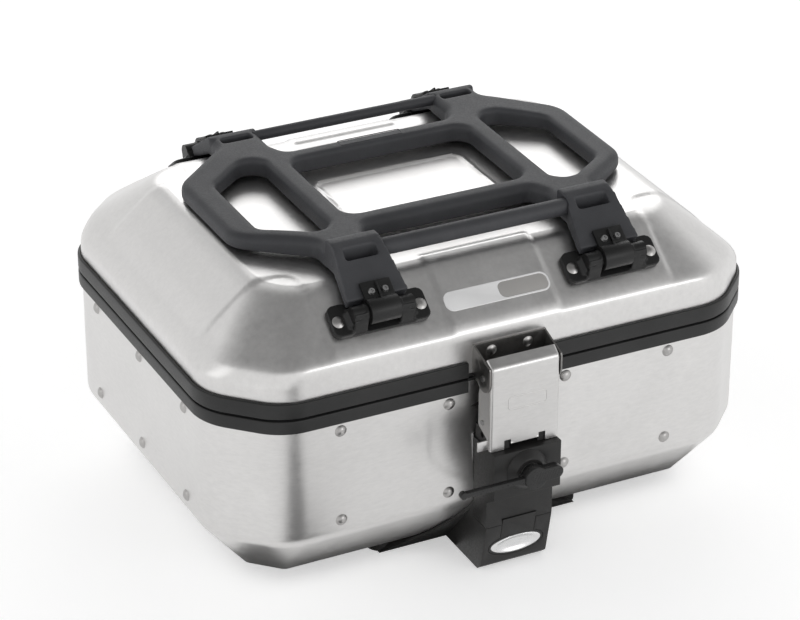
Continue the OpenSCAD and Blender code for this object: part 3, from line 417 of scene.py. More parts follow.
def softRows(rows, rounds=3):
    # each round cuts the corners of the profile, so that its bends turn smoothly
    for _ in range(rounds):
        out = [rows[0]]
        for a, b in zip(rows, rows[1:]):
            out.append(tuple(p * 0.75 + q * 0.25 for p, q in zip(a, b)))
            out.append(tuple(p * 0.25 + q * 0.75 for p, q in zip(a, b)))
        out.append(rows[-1])
        rows = out
    return rows


def stepAt(x, y, z):
    # pressed steps: the four corners lie lower, the middle of the slopes stands higher
    edge, r, up = lid["stepEdge"], lid["cornerRound"], z - lidLow.z
    dx, dy = lid["cornerX"] - abs(x), lid["cornerY"] - abs(y)
    outside = math.hypot(max(dx + r, 0), max(dy + r, 0)) - r if dx > -r and dy > -r else max(dx, dy)
    corner = smoothstep(0.5 - outside / edge) * smoothstep((up - lid["stepFrom"]) / lid["stepFade"])
    middle = smoothstep((lid["middleX"] - abs(x)) / edge + 0.5)
    middle *= smoothstep((abs(y) - lid["middleY"]) / lid["middleTurn"])
    middle *= smoothstep((up - lid["middleFrom"]) / lid["middleFade"])
    return lid["middleRise"] * middle - lid["stepDepth"] * corner


def panelAt(x, y):
    # plain pressed frame on the flat top, seen through the rack
    r = lid["panelRound"]
    dx, dy = abs(x) - lid["panelX"], abs(y) - lid["panelY"]
    outside = math.hypot(max(dx + r, 0), max(dy + r, 0)) - r
    if dx < -r and dy < -r:
        outside = max(dx, dy)
    return lid["panelRise"] * (1 - smoothstep(abs(outside) / lid["panelRim"]))


def slopeRings(inset, step, rows):
    # from the skirt up to the edge of the flat top, without the rows that lie too near each other
    rings = [levels(caseOutline(-inset), lidLow.z)]
    previous = None
    for drop, sideIn, frontIn, facing in rows:
        here = (drop * mm, sideIn * mm, frontIn * mm)
        if previous and math.dist(here, previous) < step * lid["rowShare"] and drop > 0:
            continue
        previous = here
        up = 1 - drop * mm / lid["curveH"]
        into = inset * math.cos(math.pi / 2 * facing)
        cut = case["cornerCut"] + (lid["topCut"] - case["cornerCut"]) * up - cutGrow * into
        bend = case["bend"] + (lid["topBend"] - case["bend"]) * up - into
        flat = outline(case["halfW"] - sideIn * mm - into, case["halfD"] - frontIn * mm - into, cut, bend)
        rings.append(levels(flat, lidHigh.z - drop * mm - inset * math.sin(math.pi / 2 * facing)))
    return rings


def topRings(inset, count):
    # the flat top, ring by ring towards its middle line
    w, d = case["halfW"] - lidRows[-1][1] * mm, case["halfD"] - lidRows[-1][2] * mm
    rings = []
    for k in range(1, count):
        s = (d - lid["lastRing"]) * k / count
        cut = max(lid["topCut"] - cutGrow * s, lid["leastCut"])
        flat = outline(w - s, d - s, cut, max(lid["topBend"] - s, lid["leastBend"]))
        rings.append(levels(flat, lidHigh.z - inset))
    return rings


def denser(rings, step):
    # rings further apart than one step get more between them
    out = [rings[0]]
    for a, b in zip(rings, rings[1:]):
        n = max(1, round(max(math.dist(p, q) for p, q in zip(a[::40], b[::40])) / step))
        for k in range(1, n + 1):
            f = k / n
            out.append([tuple(p[i] + (q[i] - p[i]) * f for i in range(3)) for p, q in zip(a, b)])
    return out


def raisedRing(ring):
    out = []
    for x, y, z in ring:
        lift = stepAt(x, y, z)
        if z > lidHigh.z - 0.1 * mm:
            lift += panelAt(x, y)
        steep = smoothstep((lidHigh.z - z) / lid["steepFrom"])
        away = Vector((x, y, 0)).normalized() * lift * lid["outwards"]
        out.append((x + away.x * steep, y + away.y * steep, z + lift * (1 - lid["lessUp"] * steep)))
    return out


def lidSkin():
    topSteps = int((case["halfD"] - lidRows[-1][2] * mm) / lid["step"])
    outer = slopeRings(0, lid["step"], softRows(lidRows)) + topRings(0, topSteps)
    lower = case["sheet"] + lid["innerLower"]
    inner = slopeRings(lower, lid["innerStep"], lidRows) + topRings(lower, 2)
    inner[0] = levels(caseOutline(-case["sheet"]), lidLow.z)
    return skin(list(reversed(inner)) + [raisedRing(ring) for ring in denser(outer, lid["step"])])


lidPoints, lidFaces = lidSkin()
addPiece("lidSheet", lidPoints, lidFaces, "lidSheet", "lid", "lid_shell", 40)
print("lid made")

trims = dict(radius=1.6 * mm, gapX=33 * mm, lowerH=11.6 * mm, upperH=13.2 * mm,
             leg=2.4 * mm, legRadius=0.4 * mm, overSheet=0.4 * mm, behindBracket=18 * mm, behindFront=3.6 * mm)
bandSpec = dict(case, frontSteps=86, sideSteps=30, cutSteps=4)
lowTrimLow, lowTrimHigh, _ = span("lower_trim")
upTrimLow = span("upper_trim")[0]


def roundedProfile(corners, radius, steps=4):
    # closed profile of (grow, z) corners with each corner rounded
    out = []
    n = len(corners)
    for i in range(n):
        before, here, after = (Vector(corners[j % n]) for j in (i - 1, i, i + 1))
        reach = min(radius, (before - here).length * 0.45, (after - here).length * 0.45)
        a = here + (before - here).normalized() * reach
        b = here + (after - here).normalized() * reach
        for k in range(steps + 1):
            t = k / steps
            out.append(tuple(a * (1 - t) ** 2 + here * 2 * t * (1 - t) + b * t ** 2))
    return out


def sweepBand(name, profile, openFront, body, node):
    # a profile carried round the case; openFront leaves it out across the latch
    rows = [caseOutline(grow, bandSpec) for grow, z in profile]
    n = len(rows[0])
    order = range(n)
    if openFront:
        front = [i for i in range(n) if rows[0][i][1] < -case["halfD"] + trims["behindFront"]]
        middle = [i for i in front if abs(rows[0][i][0]) < trims["gapX"]]
        order = [(middle[-1] + 1 + i) % n for i in range(n - len(middle))]
    points = [(rows[p][i][0], rows[p][i][1], profile[p][1]) for i in order for p in range(len(profile))]
    m = len(profile)
    count = len(order)
    faces = []
    for i in range(count - 1 if openFront else count):
        j = (i + 1) % count
        for p in range(m):
            q = (p + 1) % m
            faces.append((i * m + p, j * m + p, j * m + q, i * m + q))
    if openFront:
        faces.append(tuple(range(m)))
        faces.append(tuple(reversed(range((count - 1) * m, count * m))))
    addPiece(name, points, faces, "trimBlack", body, node, 55)


def trimBand(name, low, high, body, node):
    proud = lowTrimHigh.y - case["halfD"]
    corners = [(0, low), (proud, low), (proud, high), (0, high)]
    sweepBand(name, roundedProfile(corners, trims["radius"]), True, body, node)


def trimLeg(name, corners, body, node):
    sweepBand(name, roundedProfile(corners, trims["legRadius"], 2), False, body, node)


def lowerTrim():
    legIn, legOut, over = -case["sheet"] - trims["leg"], -case["sheet"], trims["overSheet"]
    trimBand("lowerTrimBand", lowTrimHigh.z - trims["lowerH"], lowTrimHigh.z, "case", "lower_trim")
    corners = [(legIn, lowTrimLow.z), (legOut, lowTrimLow.z), (legOut, tubHigh.z),
               (over, tubHigh.z), (over, lowTrimHigh.z), (legIn, lowTrimHigh.z)]
    trimLeg("lowerTrimLeg", corners, "case", "lower_trim")


def upperTrim():
    legIn, legOut, over = -case["sheet"] - trims["leg"], -case["sheet"], trims["overSheet"]
    legTop = lidLow.z + trims["behindBracket"]
    trimBand("upperTrimBand", upTrimLow.z, upTrimLow.z + trims["upperH"], "lid", "upper_trim")
    corners = [(legIn, upTrimLow.z), (over, upTrimLow.z), (over, lidLow.z),
               (legOut, lidLow.z), (legOut, legTop), (legIn, legTop)]
    trimLeg("upperTrimLeg", corners, "lid", "upper_trim")


lowerTrim()
upperTrim()
print("trims made")

rack = dict(
    bottom=lidHigh.z + 2.4 * mm, thick=16 * mm, endX=176 * mm, endFront=44 * mm, endRear=62 * mm,
    footX=102 * mm, footHalf=21 * mm, neck=7 * mm, rearNeck=16 * mm, beam=74 * mm, shoulderFront=88 * mm,
    shoulderRear=105 * mm, frontReach=112 * mm, rearReach=124 * mm, legsFront=104 * mm, legsRear=119 * mm,
    edgeIn=8 * mm, edgeDown=7 * mm, lowEdgeIn=0.8 * mm, lowEdgeUp=1.92 * mm, edgeSteps=6,
    droop=3.5 * mm, droopFrom=120 * mm, droopOver=56 * mm, voxel=1.25 * mm, softening=5,
    barEdge=0.8 * mm, blankX=28 * mm, blankY=4.2 * mm, blankRound=1.5 * mm, blankWire=0.55 * mm,
    blankAt=(-2 * mm, 65 * mm), blankSunk=0.05 * mm,
)
rack["top"] = rack["bottom"] + rack["thick"]
rackHole = dict(
    # corners of the middle hole and of the right end hole: x, y and radius, in mm
    middle=[(-81, -56, 13), (-81, 56, 13), (81, 56, 13), (81, -56, 13)],
    end=[(99, -62, 8), (99, 62, 8), (107, 70, 10), (118, 70, 14),
         (152, 43, 12), (152, -43, 12), (118, -70, 14), (107, -70, 10)],
    edge=5 * mm, slotX=14 * mm, slotY=4.5 * mm, slotRound=1.5 * mm, slotAtY=112 * mm, slotEdge=1.2 * mm,
)


def roundedLoop(corners, steps=6):
    # closed loop through (x, y, radius) corners, each turned with an arc-like curve
    out = []
    n = len(corners)
    for i in range(n):
        here = Vector(corners[i][:2])
        before, after = Vector(corners[i - 1][:2]), Vector(corners[(i + 1) % n][:2])
        a, b = (before - here).normalized(), (after - here).normalized()
        half = a.angle(b) / 2
        longest = 0.49 * min((before - here).length, (after - here).length)
        reach = min(corners[i][2] / math.tan(half), longest)
        radius = reach * math.tan(half)
        middle = here + (a + b).normalized() * radius / math.sin(half)
        start, end = here + a * reach - middle, here + b * reach - middle
        turn = start.angle(end)
        for k in range(steps + 1):
            f = k / steps
            spot = (start * math.sin((1 - f) * turn) + end * math.sin(f * turn)) / math.sin(turn)
            out.append(middle + spot)
    return out


def loopOffset(loop, distance):
    # each point moves to its left by the distance
    out = []
    for i in range(len(loop)):
        along = (loop[(i + 1) % len(loop)] - loop[i - 1]).normalized()
        out.append(loop[i] + Vector((-along.y, along.x)) * distance)
    return out


def mirrored(corners):
    return [(-x, y, r) for x, y, r in reversed(corners)]


def rackOutline():
    s = rack
    inner, outer = s["footX"] - s["footHalf"], s["footX"] + s["footHalf"]
    right = [
        (inner - s["neck"], -s["beam"], 9 * mm), (inner, -s["shoulderFront"], 9 * mm),
        (inner, -s["frontReach"], 8 * mm), (outer, -s["frontReach"], 8 * mm),
        (outer, -s["shoulderFront"], 12 * mm), (s["endX"], -s["endFront"], 26 * mm),
        (s["endX"], s["endRear"], 28 * mm), (outer, s["shoulderRear"], 12 * mm),
        (outer, s["rearReach"], 9 * mm), (inner, s["rearReach"], 9 * mm),
        (inner, s["beam"] + s["rearNeck"], 9 * mm), (inner - s["neck"], s["beam"], 9 * mm),
    ]
    return roundedLoop(right + mirrored(right))


def rackHoles():
    s = rackHole
    middle, end = ([(x * mm, y * mm, r * mm) for x, y, r in s[part]] for part in ("middle", "end"))
    holes = [(roundedLoop(corners), s["edge"]) for corners in (middle, end, mirrored(end))]
    for side in (-1, 1):
        x, y = side * rack["footX"], s["slotAtY"]
        corners = [(x + wayX * s["slotX"], y + wayY * s["slotY"], s["slotRound"])
                   for wayX, wayY in ((-1, -1), (-1, 1), (1, 1), (1, -1))]
        holes.append((roundedLoop(corners, 3), s["slotEdge"]))
    return holes


def edgeRings(edgeIn):
    # how far in and how high each ring of an edge lies: small below, rolled above
    s = rack
    rings = [(0, s["bottom"])]
    if edgeIn > rackHole["slotEdge"]:
        rings = [(s["lowEdgeIn"], s["bottom"]), (0, s["bottom"] + s["lowEdgeUp"])]
    down = s["edgeDown"] * edgeIn / s["edgeIn"]
    for k in range(s["edgeSteps"] + 1):
        turn = math.pi / 2 * k / s["edgeSteps"]
        rings.append((edgeIn * (1 - math.cos(turn)), s["top"] - down * (1 - math.sin(turn))))
    return rings


def rackPlate():
    # moulded plate: the walls of its outline and holes, then the upper and the lower face
    build = bmesh.new()
    upperEdges, lowerEdges = [], []
    for loop, edgeIn in [(rackOutline(), rack["edgeIn"])] + rackHoles():
        layers = [[build.verts.new((p.x, p.y, z)) for p in loopOffset(loop, inwards)]
                  for inwards, z in edgeRings(edgeIn)]
        n = len(loop)
        for a, b in zip(layers, layers[1:]):
            for i in range(n):
                build.faces.new((a[i], a[(i + 1) % n], b[(i + 1) % n], b[i]))
        for layer, store in ((layers[0], lowerEdges), (layers[-1], upperEdges)):
            store += [build.edges.get((layer[i], layer[(i + 1) % n])) for i in range(n)]
    bmesh.ops.triangle_fill(build, edges=upperEdges, use_beauty=True, normal=(0, 0, 1))
    bmesh.ops.triangle_fill(build, edges=lowerEdges, use_beauty=True, normal=(0, 0, -1))
    bmesh.ops.recalc_face_normals(build, faces=build.faces)
    return build


def rackLegs(build, cutY, front):
    # the feet's lower parts, outside the plate
    legs = openMesh(nodes["rack_frame"].data)
    bmesh.ops.remove_doubles(legs, verts=legs.verts, dist=0.01 * mm)
    geometry = legs.verts[:] + legs.edges[:] + legs.faces[:]
    cut = bmesh.ops.bisect_plane(legs, geom=geometry, plane_co=(0, cutY, 0), plane_no=(0, 1, 0),
                                 clear_outer=front, clear_inner=not front)
    edges = [e for e in cut["geom_cut"] if isinstance(e, bmesh.types.BMEdge)]
    bmesh.ops.triangle_fill(legs, edges=edges, use_beauty=True)
    bmesh.ops.recalc_face_normals(legs, faces=legs.faces)
    build.from_mesh(closeMesh(legs, bpy.data.meshes.new("rackLegs")))


def rackBody():
    build = rackPlate()
    rackLegs(build, -rack["legsFront"], True)
    rackLegs(build, rack["legsRear"], False)
    thing = inScene("rackFrame", closeMesh(build, bpy.data.meshes.new("rackFrame")))
    meltEdges(thing, rack["voxel"], rack["softening"])
    for vertex in thing.data.vertices:
        # the two ends hang a little
        up = vertex.co.z - rack["bottom"]
        if up > 1 * mm:
            out = smoothstep((abs(vertex.co.x) - rack["droopFrom"]) / rack["droopOver"])
            vertex.co.z -= rack["droop"] * out * min(1, up / rack["thick"])
    settle(thing, 60)
    place(thing, "rackNylon", "lid", "rack_frame")


def wireFrame(name, halfX, halfY, corner, wire, matrix, finish, body):
    # plain raised outline: a rounded rectangle swept with a small flattened section
    path = roundedLoop([(wayX * halfX, wayY * halfY, corner)
                        for wayX, wayY in ((-1, -1), (1, -1), (1, 1), (-1, 1))])
    sides = 8
    rings = []
    for i, here in enumerate(path):
        along = (path[(i + 1) % len(path)] - path[i - 1]).normalized()
        out, up = Vector((along.y, -along.x, 0)), Vector((0, 0, 0.5))
        turns = [2 * math.pi * k / sides for k in range(sides)]
        rings.append([matrix @ (here.to_3d() + (out * math.cos(a) + up * math.sin(a)) * wire) for a in turns])
    rings.append(rings[0])
    points, faces = skin(rings, False)
    addPiece(name, points, faces, finish, body, None, 80)


rackBody()
wireFrame("rackBlank", rack["blankX"], rack["blankY"], rack["blankRound"], rack["blankWire"],
          Matrix.Translation((*rack["blankAt"], rack["top"] - rack["blankSunk"])), "rackNylon", "lid")
roundedCopy("front_bar", "rackFrontBar", rack["barEdge"], "rackNylon", "lid")
roundedCopy("rear_bar", "rackRearBar", rack["barEdge"], "rackNylon", "lid")

barLow, barHigh, _ = span("rack_pivot_bars")
bracket = dict(
    lean=math.radians(36.84), axisUp=12.7 * mm, barHalf=6.5 * mm, barRound=7.2 * mm, barEnd=12.5 * mm,
    gussetWide=3 * mm, gussetSteps=10, innerX=24 * mm, innerUp=(-10.4 * mm, 9 * mm), innerHigh=0.8 * mm,
    outerX=29.28 * mm, outerUp=(-7.15 * mm, 5.25 * mm), outerHigh=(1 * mm, 6.4 * mm),
    voxel=0.75 * mm, softening=3, clampEdge=0.7 * mm,
    finUp=8.5 * mm, finLong=13 * mm, finBase=18.2 * mm, finHigh=3.2 * mm, finTip=0.6 * mm, finTaper=2 * mm,
    finHalf=0.8 * mm, finEdge=0.35 * mm,
)


def bracketMatrix(sideX, sideY):
    # its middle on the lid's slope, z off the lid, y up the slope
    lean = bracket["lean"]
    y = barLow.y + bracket["barHalf"] + bracket["axisUp"] * math.sin(lean)
    z = (barLow.z + barHigh.z) / 2 - bracket["axisUp"] * math.cos(lean)
    flip = Matrix.Scale(-1, 4, (0, 1, 0)) if sideY > 0 else Matrix.Identity(4)
    return flip @ Matrix.Translation((sideX * rack["footX"], y, z)) @ Matrix.Rotation(lean, 4, "X")


def hullInto(build, points):
    verts = [build.verts.new(p) for p in points]
    made = bmesh.ops.convex_hull(build, input=verts)
    spare = [g for g in made["geom_interior"] if isinstance(g, bmesh.types.BMVert)]
    bmesh.ops.delete(build, geom=spare, context="VERTS")


def gusset(way):
    # from the outer part of a pad up and round the end of the bar
    s = bracket
    points = [Vector((way * s["outerX"], u, n)) for u in s["outerUp"] for n in s["outerHigh"]]
    points += [Vector((way * s["innerX"], u, s["innerHigh"])) for u in s["innerUp"]]
    for x in (s["barEnd"], s["barEnd"] + s["gussetWide"]):
        for k in range(s["gussetSteps"]):
            a = 2 * math.pi * k / s["gussetSteps"]
            u, n = s["barRound"] * math.cos(a), s["axisUp"] + s["barRound"] * math.sin(a)
            points.append(Vector((way * x, u, n)))
    return points


def bracketBase(side, matrix):
    # the pads with the gussets that run up to the bar's ends
    thing = copyOf("rack_base_" + side, "bracketBase_" + side)
    build = openMesh(thing.data)
    for way in (-1, 1):
        hullInto(build, [matrix @ p for p in gusset(way)])
    closeMesh(build, thing.data)
    meltEdges(thing, bracket["voxel"], bracket["softening"])
    settle(thing, 60)
    place(thing, "bracketNylon", "lid", "rack_base_" + side)


def bracketFin(side, matrix):
    # thin rib between the clamp's two screws
    s = bracket
    low, high, base = s["finUp"], s["finUp"] + s["finLong"], s["finBase"]
    profile = [(low, base), (low, base + s["finHigh"]),
               (high - s["finTaper"], base + s["finTip"]), (high, base)]
    build = bmesh.new()
    hullInto(build, [matrix @ Vector((way * s["finHalf"], u, n)) for way in (-1, 1) for u, n in profile])
    thing = inScene("bracketFin_" + side, closeMesh(build, bpy.data.meshes.new("bracketFin")))
    breakEdges(thing, s["finEdge"], 2)
    settle(thing, 40)
    place(thing, "bracketNylon", "lid", None)


corners = [("front_left", -1, -1), ("front_right", 1, -1), ("rear_left", -1, 1), ("rear_right", 1, 1)]
for side, sideX, sideY in corners:
    matrix = bracketMatrix(sideX, sideY)
    bracketBase(side, matrix)
    bracketFin(side, matrix)
    roundedCopy("rack_clamp_" + side, "bracketClamp_" + side, bracket["clampEdge"],
                "bracketNylon", "lid")
print("rack made")

lever = dict(sheet=1.5 * mm, bend=5 * mm, sideBend=2.6 * mm, lipBack=8.4 * mm, lipUp=5.6 * mm,
             faceSteps=44, bendSteps=8, lipSteps=5, sideBendSteps=6, sideSteps=4, acrossSteps=12,
             foot=12 * mm, notch=4 * mm, slotWide=6 * mm, slotDeep=8 * mm, edge=0.35 * mm,
             tabLong=9.4 * mm, tabHigh=8.6 * mm, tabBack=4 * mm, tabUp=0.5 * mm, tabInto=1 * mm,
             tabEdge=0.5 * mm,
             frameX=17 * mm, frameZ=5.5 * mm, frameRound=3 * mm, frameWire=0.5 * mm,
             frameAt=(2 * mm, 40 * mm))
# how far back the sides reach, from the lower edge up, in mm
leverSides = [(0, 3.2), (2, 5.2), (9, 6.5), (15, 21), (43, 21),
              (53, 18.3), (66, 18.3), (72, 13), (74, 6), (90, 3.2)]
leverLow, leverHigh, _ = span("latch_lever")
leverHalf = min(-(leverLow.x + lever["tabLong"]), leverHigh.x)


def sideReach(up):
    for (a, reachA), (b, reachB) in zip(leverSides, leverSides[1:]):
        if up <= b * mm:
            return (reachA + (reachB - reachA) * max(0, up - a * mm) / ((b - a) * mm)) * mm
    return leverSides[-1][1] * mm


def leverPath():
    # front face upwards, a broad bend, then the lip that leans back: (y, z, outward y, outward z)
    s = lever
    top = leverHigh.z - s["lipUp"]
    lean = math.atan2(s["lipUp"], s["lipBack"])
    turn = math.pi / 2 - lean
    reach = s["bend"] * math.tan(turn / 2)
    height = top - reach - leverLow.z
    stops = []
    for k in range(s["faceSteps"] + 1):
        stops.append((leverLow.y, leverLow.z + height * k / s["faceSteps"], -1.0, 0.0))
    for k in range(1, s["bendSteps"] + 1):
        a = turn * k / s["bendSteps"]
        stops.append((leverLow.y + s["bend"] * (1 - math.cos(a)), top - reach + s["bend"] * math.sin(a),
                      -math.cos(a), math.sin(a)))
    y, z = stops[-1][:2]
    length = math.hypot(s["lipBack"], s["lipUp"]) - reach
    for k in range(1, s["lipSteps"] + 1):
        f = k / s["lipSteps"]
        stops.append((y + math.cos(lean) * length * f, z + math.sin(lean) * length * f,
                      -math.sin(lean), math.cos(lean)))
    return stops


def leverRow(reach):
    # one row across the cover: (x, depth) from the left side's edge round to the right side's
    s = lever
    right = []
    for k in range(s["sideBendSteps"] + 1):
        a = math.pi / 2 * k / s["sideBendSteps"]
        right.append((leverHalf - s["sideBend"] * (1 - math.sin(a)), s["sideBend"] * (1 - math.cos(a))))
    for k in range(1, s["sideSteps"] + 1):
        right.append((leverHalf, s["sideBend"] + (reach - s["sideBend"]) * k / s["sideSteps"]))
    flatHalf = leverHalf - s["sideBend"]
    flat = [(-flatHalf + flatHalf * 2 * k / s["acrossSteps"], 0) for k in range(1, s["acrossSteps"])]
    return [(-x, depth) for x, depth in reversed(right)] + flat + right


def leverFace():
    # open sheet: a face with rounded bends to its two sides and over its top
    rows = []
    for y, z, outY, outZ in leverPath():
        here, out = Vector((0, y, z)), Vector((0, outY, outZ))
        across = leverRow(sideReach(z - leverLow.z))
        rows.append([here + Vector((x, 0, 0)) - out * depth for x, depth in across])
    n = len(rows[0])
    faces = [(r * n + i, r * n + i + 1, (r + 1) * n + i + 1, (r + 1) * n + i)
             for r in range(len(rows) - 1) for i in range(n - 1)]
    thing = sceneMesh("latchLever", [p for row in rows for p in row], faces)
    build = openMesh(thing.data)
    bmesh.ops.recalc_face_normals(build, faces=build.faces)
    middle = Vector((0, leverLow.y, leverLow.z + lever["frameAt"][1]))
    facing = min(build.faces, key=lambda face: (face.calc_center_median() - middle).length)
    if facing.normal.y > 0:
        bmesh.ops.reverse_faces(build, faces=build.faces)
    closeMesh(build, thing.data)
    return thing


def cutNotches(thing):
    # the lower edge stands on two feet, with a deeper slot beside each
    s = lever
    inner = leverHalf - s["foot"]
    below, behind, deep = 5 * mm, 1 * mm, 8 * mm      # the cutters reach past the sheet all round
    cutter = bmesh.new()
    for x0, x1, up in [(-inner, inner, s["notch"]), (-inner, -inner + s["slotWide"], s["slotDeep"]),
                       (inner - s["slotWide"], inner, s["slotDeep"])]:
        middle = ((x0 + x1) / 2, leverLow.y + behind, leverLow.z - below + (up + below) / 2)
        size = Matrix.Diagonal((x1 - x0, deep, up + below, 1))
        bmesh.ops.create_cube(cutter, size=1, matrix=Matrix.Translation(middle) @ size)
    cutThing = inScene("notches", closeMesh(cutter, bpy.data.meshes.new("notches")))
    notches = thing.modifiers.new("notches", "BOOLEAN")
    notches.operation = "DIFFERENCE"
    notches.object = cutThing
    notches.solver = "EXACT"
    notches.use_self = True
    applyModifiers(thing)
    bpy.data.objects.remove(cutThing)


def leverCover():
    thing = leverFace()
    thick = thing.modifiers.new("sheet", "SOLIDIFY")
    thick.thickness = lever["sheet"]
    thick.offset = -1
    applyModifiers(thing)
    cutNotches(thing)
    breakEdges(thing, lever["edge"], 2, 50)
    settle(thing, 38)
    place(thing, "leverSteel", "lever", "latch_lever")


def leverTab():
    # small ear beside the lower edge
    s = lever
    size = Matrix.Diagonal((s["tabLong"] + s["tabInto"], s["sheet"], s["tabHigh"], 1))
    centre = (-leverHalf - (s["tabLong"] - s["tabInto"]) / 2, leverLow.y + s["tabBack"] + s["sheet"] / 2,
              leverLow.z + s["tabUp"] + s["tabHigh"] / 2)
    build = bmesh.new()
    bmesh.ops.create_cube(build, size=1, matrix=Matrix.Translation(centre) @ size)
    bmesh.ops.bevel(build, geom=build.edges[:], offset=s["tabEdge"], segments=3, profile=0.5, affect="EDGES")
    thing = inScene("leverTab", closeMesh(build, bpy.data.meshes.new("leverTab")))
    settle(thing, 40)
    place(thing, "leverSteel", "lever", None)


def leverFrame():
    x, up = lever["frameAt"]
    upright = Matrix.Translation((x, leverLow.y, leverLow.z + up)) @ Matrix.Rotation(math.pi / 2, 4, "X")
    wireFrame("leverFrame", lever["frameX"], lever["frameZ"], lever["frameRound"], lever["frameWire"],
              upright, "leverSteel", "lever")


# width of the broken edges
edges = dict(latchBracket=0.5 * mm, lockHousing=1.5 * mm, lockCollar=0.8 * mm, keyBow=0.5 * mm,
             basePlate=1.6 * mm, releaseButton=0.8 * mm, labelPlate=0.3 * mm, labelInsert=0.2 * mm)
roundedCopy("latch_bracket", "latchBracket", edges["latchBracket"], "bracketSteel", "lid")
leverCover()
leverTab()
roundedCopy("lock_housing", "lockHousing", edges["lockHousing"], "baseNylon", "case")
roundedCopy("lock_collar", "lockCollar", edges["lockCollar"], "baseNylon", "case")
roundedCopy("key_bow", "keyBow", edges["keyBow"], "keyNylon", "key", 2)
roundedCopy("base_plate", "basePlate", edges["basePlate"], "baseNylon", "case")
roundedCopy("release_button", "releaseButton", edges["releaseButton"], "baseNylon", "button")
roundedCopy("badge_plate", "labelPlate", edges["labelPlate"], "labelLight", "lid")
roundedCopy("badge_insert", "labelInsert", edges["labelInsert"], "labelDark", "lid")

dish = dict(
    # share of the oval, and mm back from its face, from the rim's rear edge to the middle
    profile=[(1.0, 3.0), (1.0, 0.6), (0.97, 0.1), (0.92, -0.3), (0.85, -0.1), (0.78, 0.4), (0.70, 1.0),
             (0.6, 1.7), (0.48, 2.25), (0.34, 2.6), (0.15, 2.7)],
    lean=-9.6 / 44.8,      # the nose's front leans forward this much for each mm up
    sunk=1 * mm, steps=72,
)


def ovalDish():
    # bright oval let into the button: a rolled rim and a hollow middle
    low, high, mid = span("button_insert")
    halfW, halfH = (high.x - low.x) / 2, (high.z - low.z) / 2
    face = low.y + dish["sunk"] - dish["lean"] * halfH * 0.5
    rings = []
    for scale, depth in dish["profile"]:
        ring = []
        for i in range(dish["steps"]):
            a = 2 * math.pi * i / dish["steps"]
            x, z = halfW * scale * math.cos(a), halfH * scale * math.sin(a)
            ring.append((mid.x + x, face + dish["lean"] * z + depth * mm, mid.z + z))
        rings.append(ring)
    points, faces = skin(rings)
    addPiece("buttonDish", points, faces, "brightDish", "button", "button_insert", 60)


ovalDish()
leverFrame()
print("latch, lock and base made")

studio = dict(
    floorHalf=6.0, floorGrey=0.88, floorGlow=0.42, paperRough=0.9, cardHeight=0.6 * mm,
    # painted shade for the metal's reflections: x and y of two corners, and the tone: under the case (painted
    # shadow of the floor there), before its left bend, and far right
    shadeCards=[(-0.215, -0.15, 0.215, 0.17, 0.16), (-0.23, -0.66, -0.125, -0.23, 0.03),
           (0.34, 0.15, 0.66, 0.8, 0.05)],
    # name, place, aim, width, height, power
    lights=[("backLight", (1.1, 2.2, 1.4), (0, 0, 0.2), 2.2, 1.1, 13),
            ("leftLight", (-2.4, 0.2, 1.2), (0, 0, 0.15), 1.2, 1.2, 3),
            ("frontLight", (1.2, -2.6, 0.9), (0, 0, 0.12), 1.4, 0.8, 8)],
    # height from straight down to straight up, and brightness
    sky=[(0.0, 1.0), (0.42, 1.0), (0.66, 0.62), (0.85, 0.30), (1.0, 0.28)],
)
cameraPlan = dict(spot=(-1.0438, -2.0952, 1.3821), aim=(-0.017, -0.022, 0.153), lens=143.3, roll=0.06,
                  sensor=36, farthest=50)


def paperSheet(name, x0, y0, x1, y1, z, darker, lighter):
    sheet = sceneMesh(name, [(x0, y0, z), (x1, y0, z), (x1, y1, z), (x0, y1, z)], [(0, 1, 2, 3)])
    material, tree, shader = newMaterial(name + "Paper")
    shader.inputs["Roughness"].default_value = studio["paperRough"]
    tone = twoTone(tree, grain(tree, grainScale["paper"], 2), shade(darker), shade(lighter))
    tree.links.new(tone, shader.inputs["Base Color"])
    sheet.data.materials.append(material)
    return sheet, shader


def floorSheet():
    half, grey = studio["floorHalf"], studio["floorGrey"]
    floor, shader = paperSheet("floorSheet", -half, -half, half, half, 0, grey, grey + 0.01)
    shader.inputs["Emission Color"].default_value = (*shade(1.0), 1)
    shader.inputs["Emission Strength"].default_value = studio["floorGlow"]


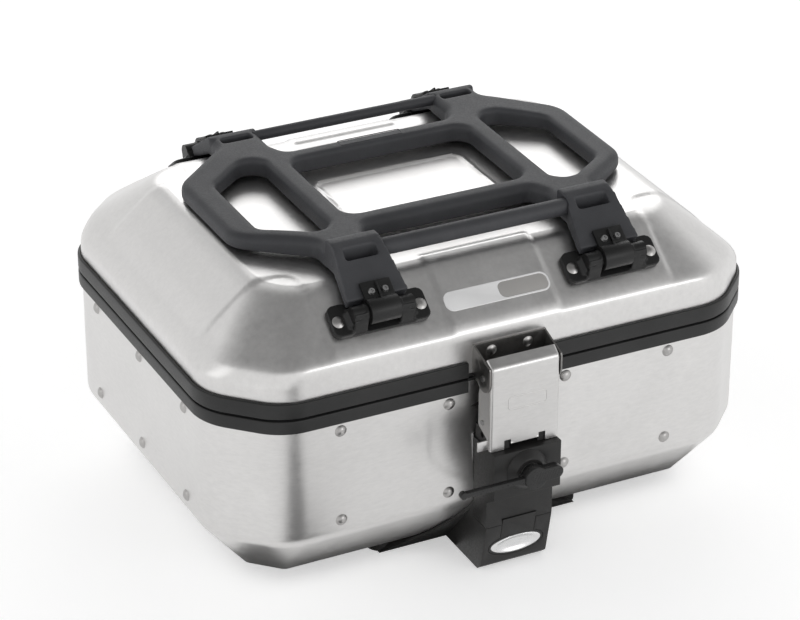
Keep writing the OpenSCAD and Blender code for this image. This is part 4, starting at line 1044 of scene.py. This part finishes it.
def reflectedShadeCard(index, x0, y0, x1, y1, tone):
    # painted shade: a dark sheet seen only in the metal's reflections, standing in for shade round the case
    card = paperSheet("reflectedShadeCard_" + str(index), x0, y0, x1, y1, studio["cardHeight"], tone, tone * 1.1)[0]
    card.visible_camera = False
    card.visible_diffuse = False
    card.visible_shadow = False
    card.visible_transmission = False


def areaLight(name, spot, target, width, height, power):
    data = bpy.data.lights.new(name, "AREA")
    data.shape = "RECTANGLE"
    data.size = width
    data.size_y = height
    data.energy = power
    light = bpy.data.objects.new(name, data)
    bpy.context.collection.objects.link(light)
    light.location = spot
    light.rotation_euler = (Vector(target) - Vector(spot)).to_track_quat("-Z", "Y").to_euler()


def studioSky():
    # brightness by height alone
    world = bpy.data.worlds.new("studioWorld")
    bpy.context.scene.world = world
    world.use_nodes = True
    tree = world.node_tree
    coords = tree.nodes.new("ShaderNodeTexCoord")
    split = tree.nodes.new("ShaderNodeSeparateXYZ")
    ramp = tree.nodes.new("ShaderNodeValToRGB")
    tree.links.new(coords.outputs["Generated"], split.inputs["Vector"])
    tree.links.new(split.outputs["Z"], ramp.inputs["Fac"])
    for index, (height, brightness) in enumerate(studio["sky"]):
        stop = ramp.color_ramp.elements[index] if index < 2 else ramp.color_ramp.elements.new(height)
        stop.position = height
        stop.color = (*shade(brightness), 1)
    tree.links.new(ramp.outputs["Color"], tree.nodes["Background"].inputs["Color"])
    tree.nodes["Background"].inputs["Strength"].default_value = 1.0


def studioCamera():
    data = bpy.data.cameras.new("studioCamera")
    data.lens = cameraPlan["lens"]
    data.sensor_width = cameraPlan["sensor"]
    data.sensor_fit = "HORIZONTAL"
    data.clip_end = cameraPlan["farthest"]
    camera = bpy.data.objects.new("studioCamera", data)
    bpy.context.collection.objects.link(camera)
    lookAt = (Vector(cameraPlan["aim"]) - Vector(cameraPlan["spot"])).to_track_quat("-Z", "Y")
    camera.matrix_world = (Matrix.Translation(cameraPlan["spot"]) @ lookAt.to_matrix().to_4x4()
                           @ Matrix.Rotation(math.radians(cameraPlan["roll"]), 4, "Z"))
    bpy.context.scene.camera = camera


floorSheet()
# dark sheets that paint shade into the metal's reflections only
for index, area in enumerate(studio["shadeCards"]):
    reflectedShadeCard(index, *area)
for light in studio["lights"]:
    areaLight(*light)
studioSky()
studioCamera()
bpy.context.scene.view_settings.view_transform = "Standard"
print("studio made")
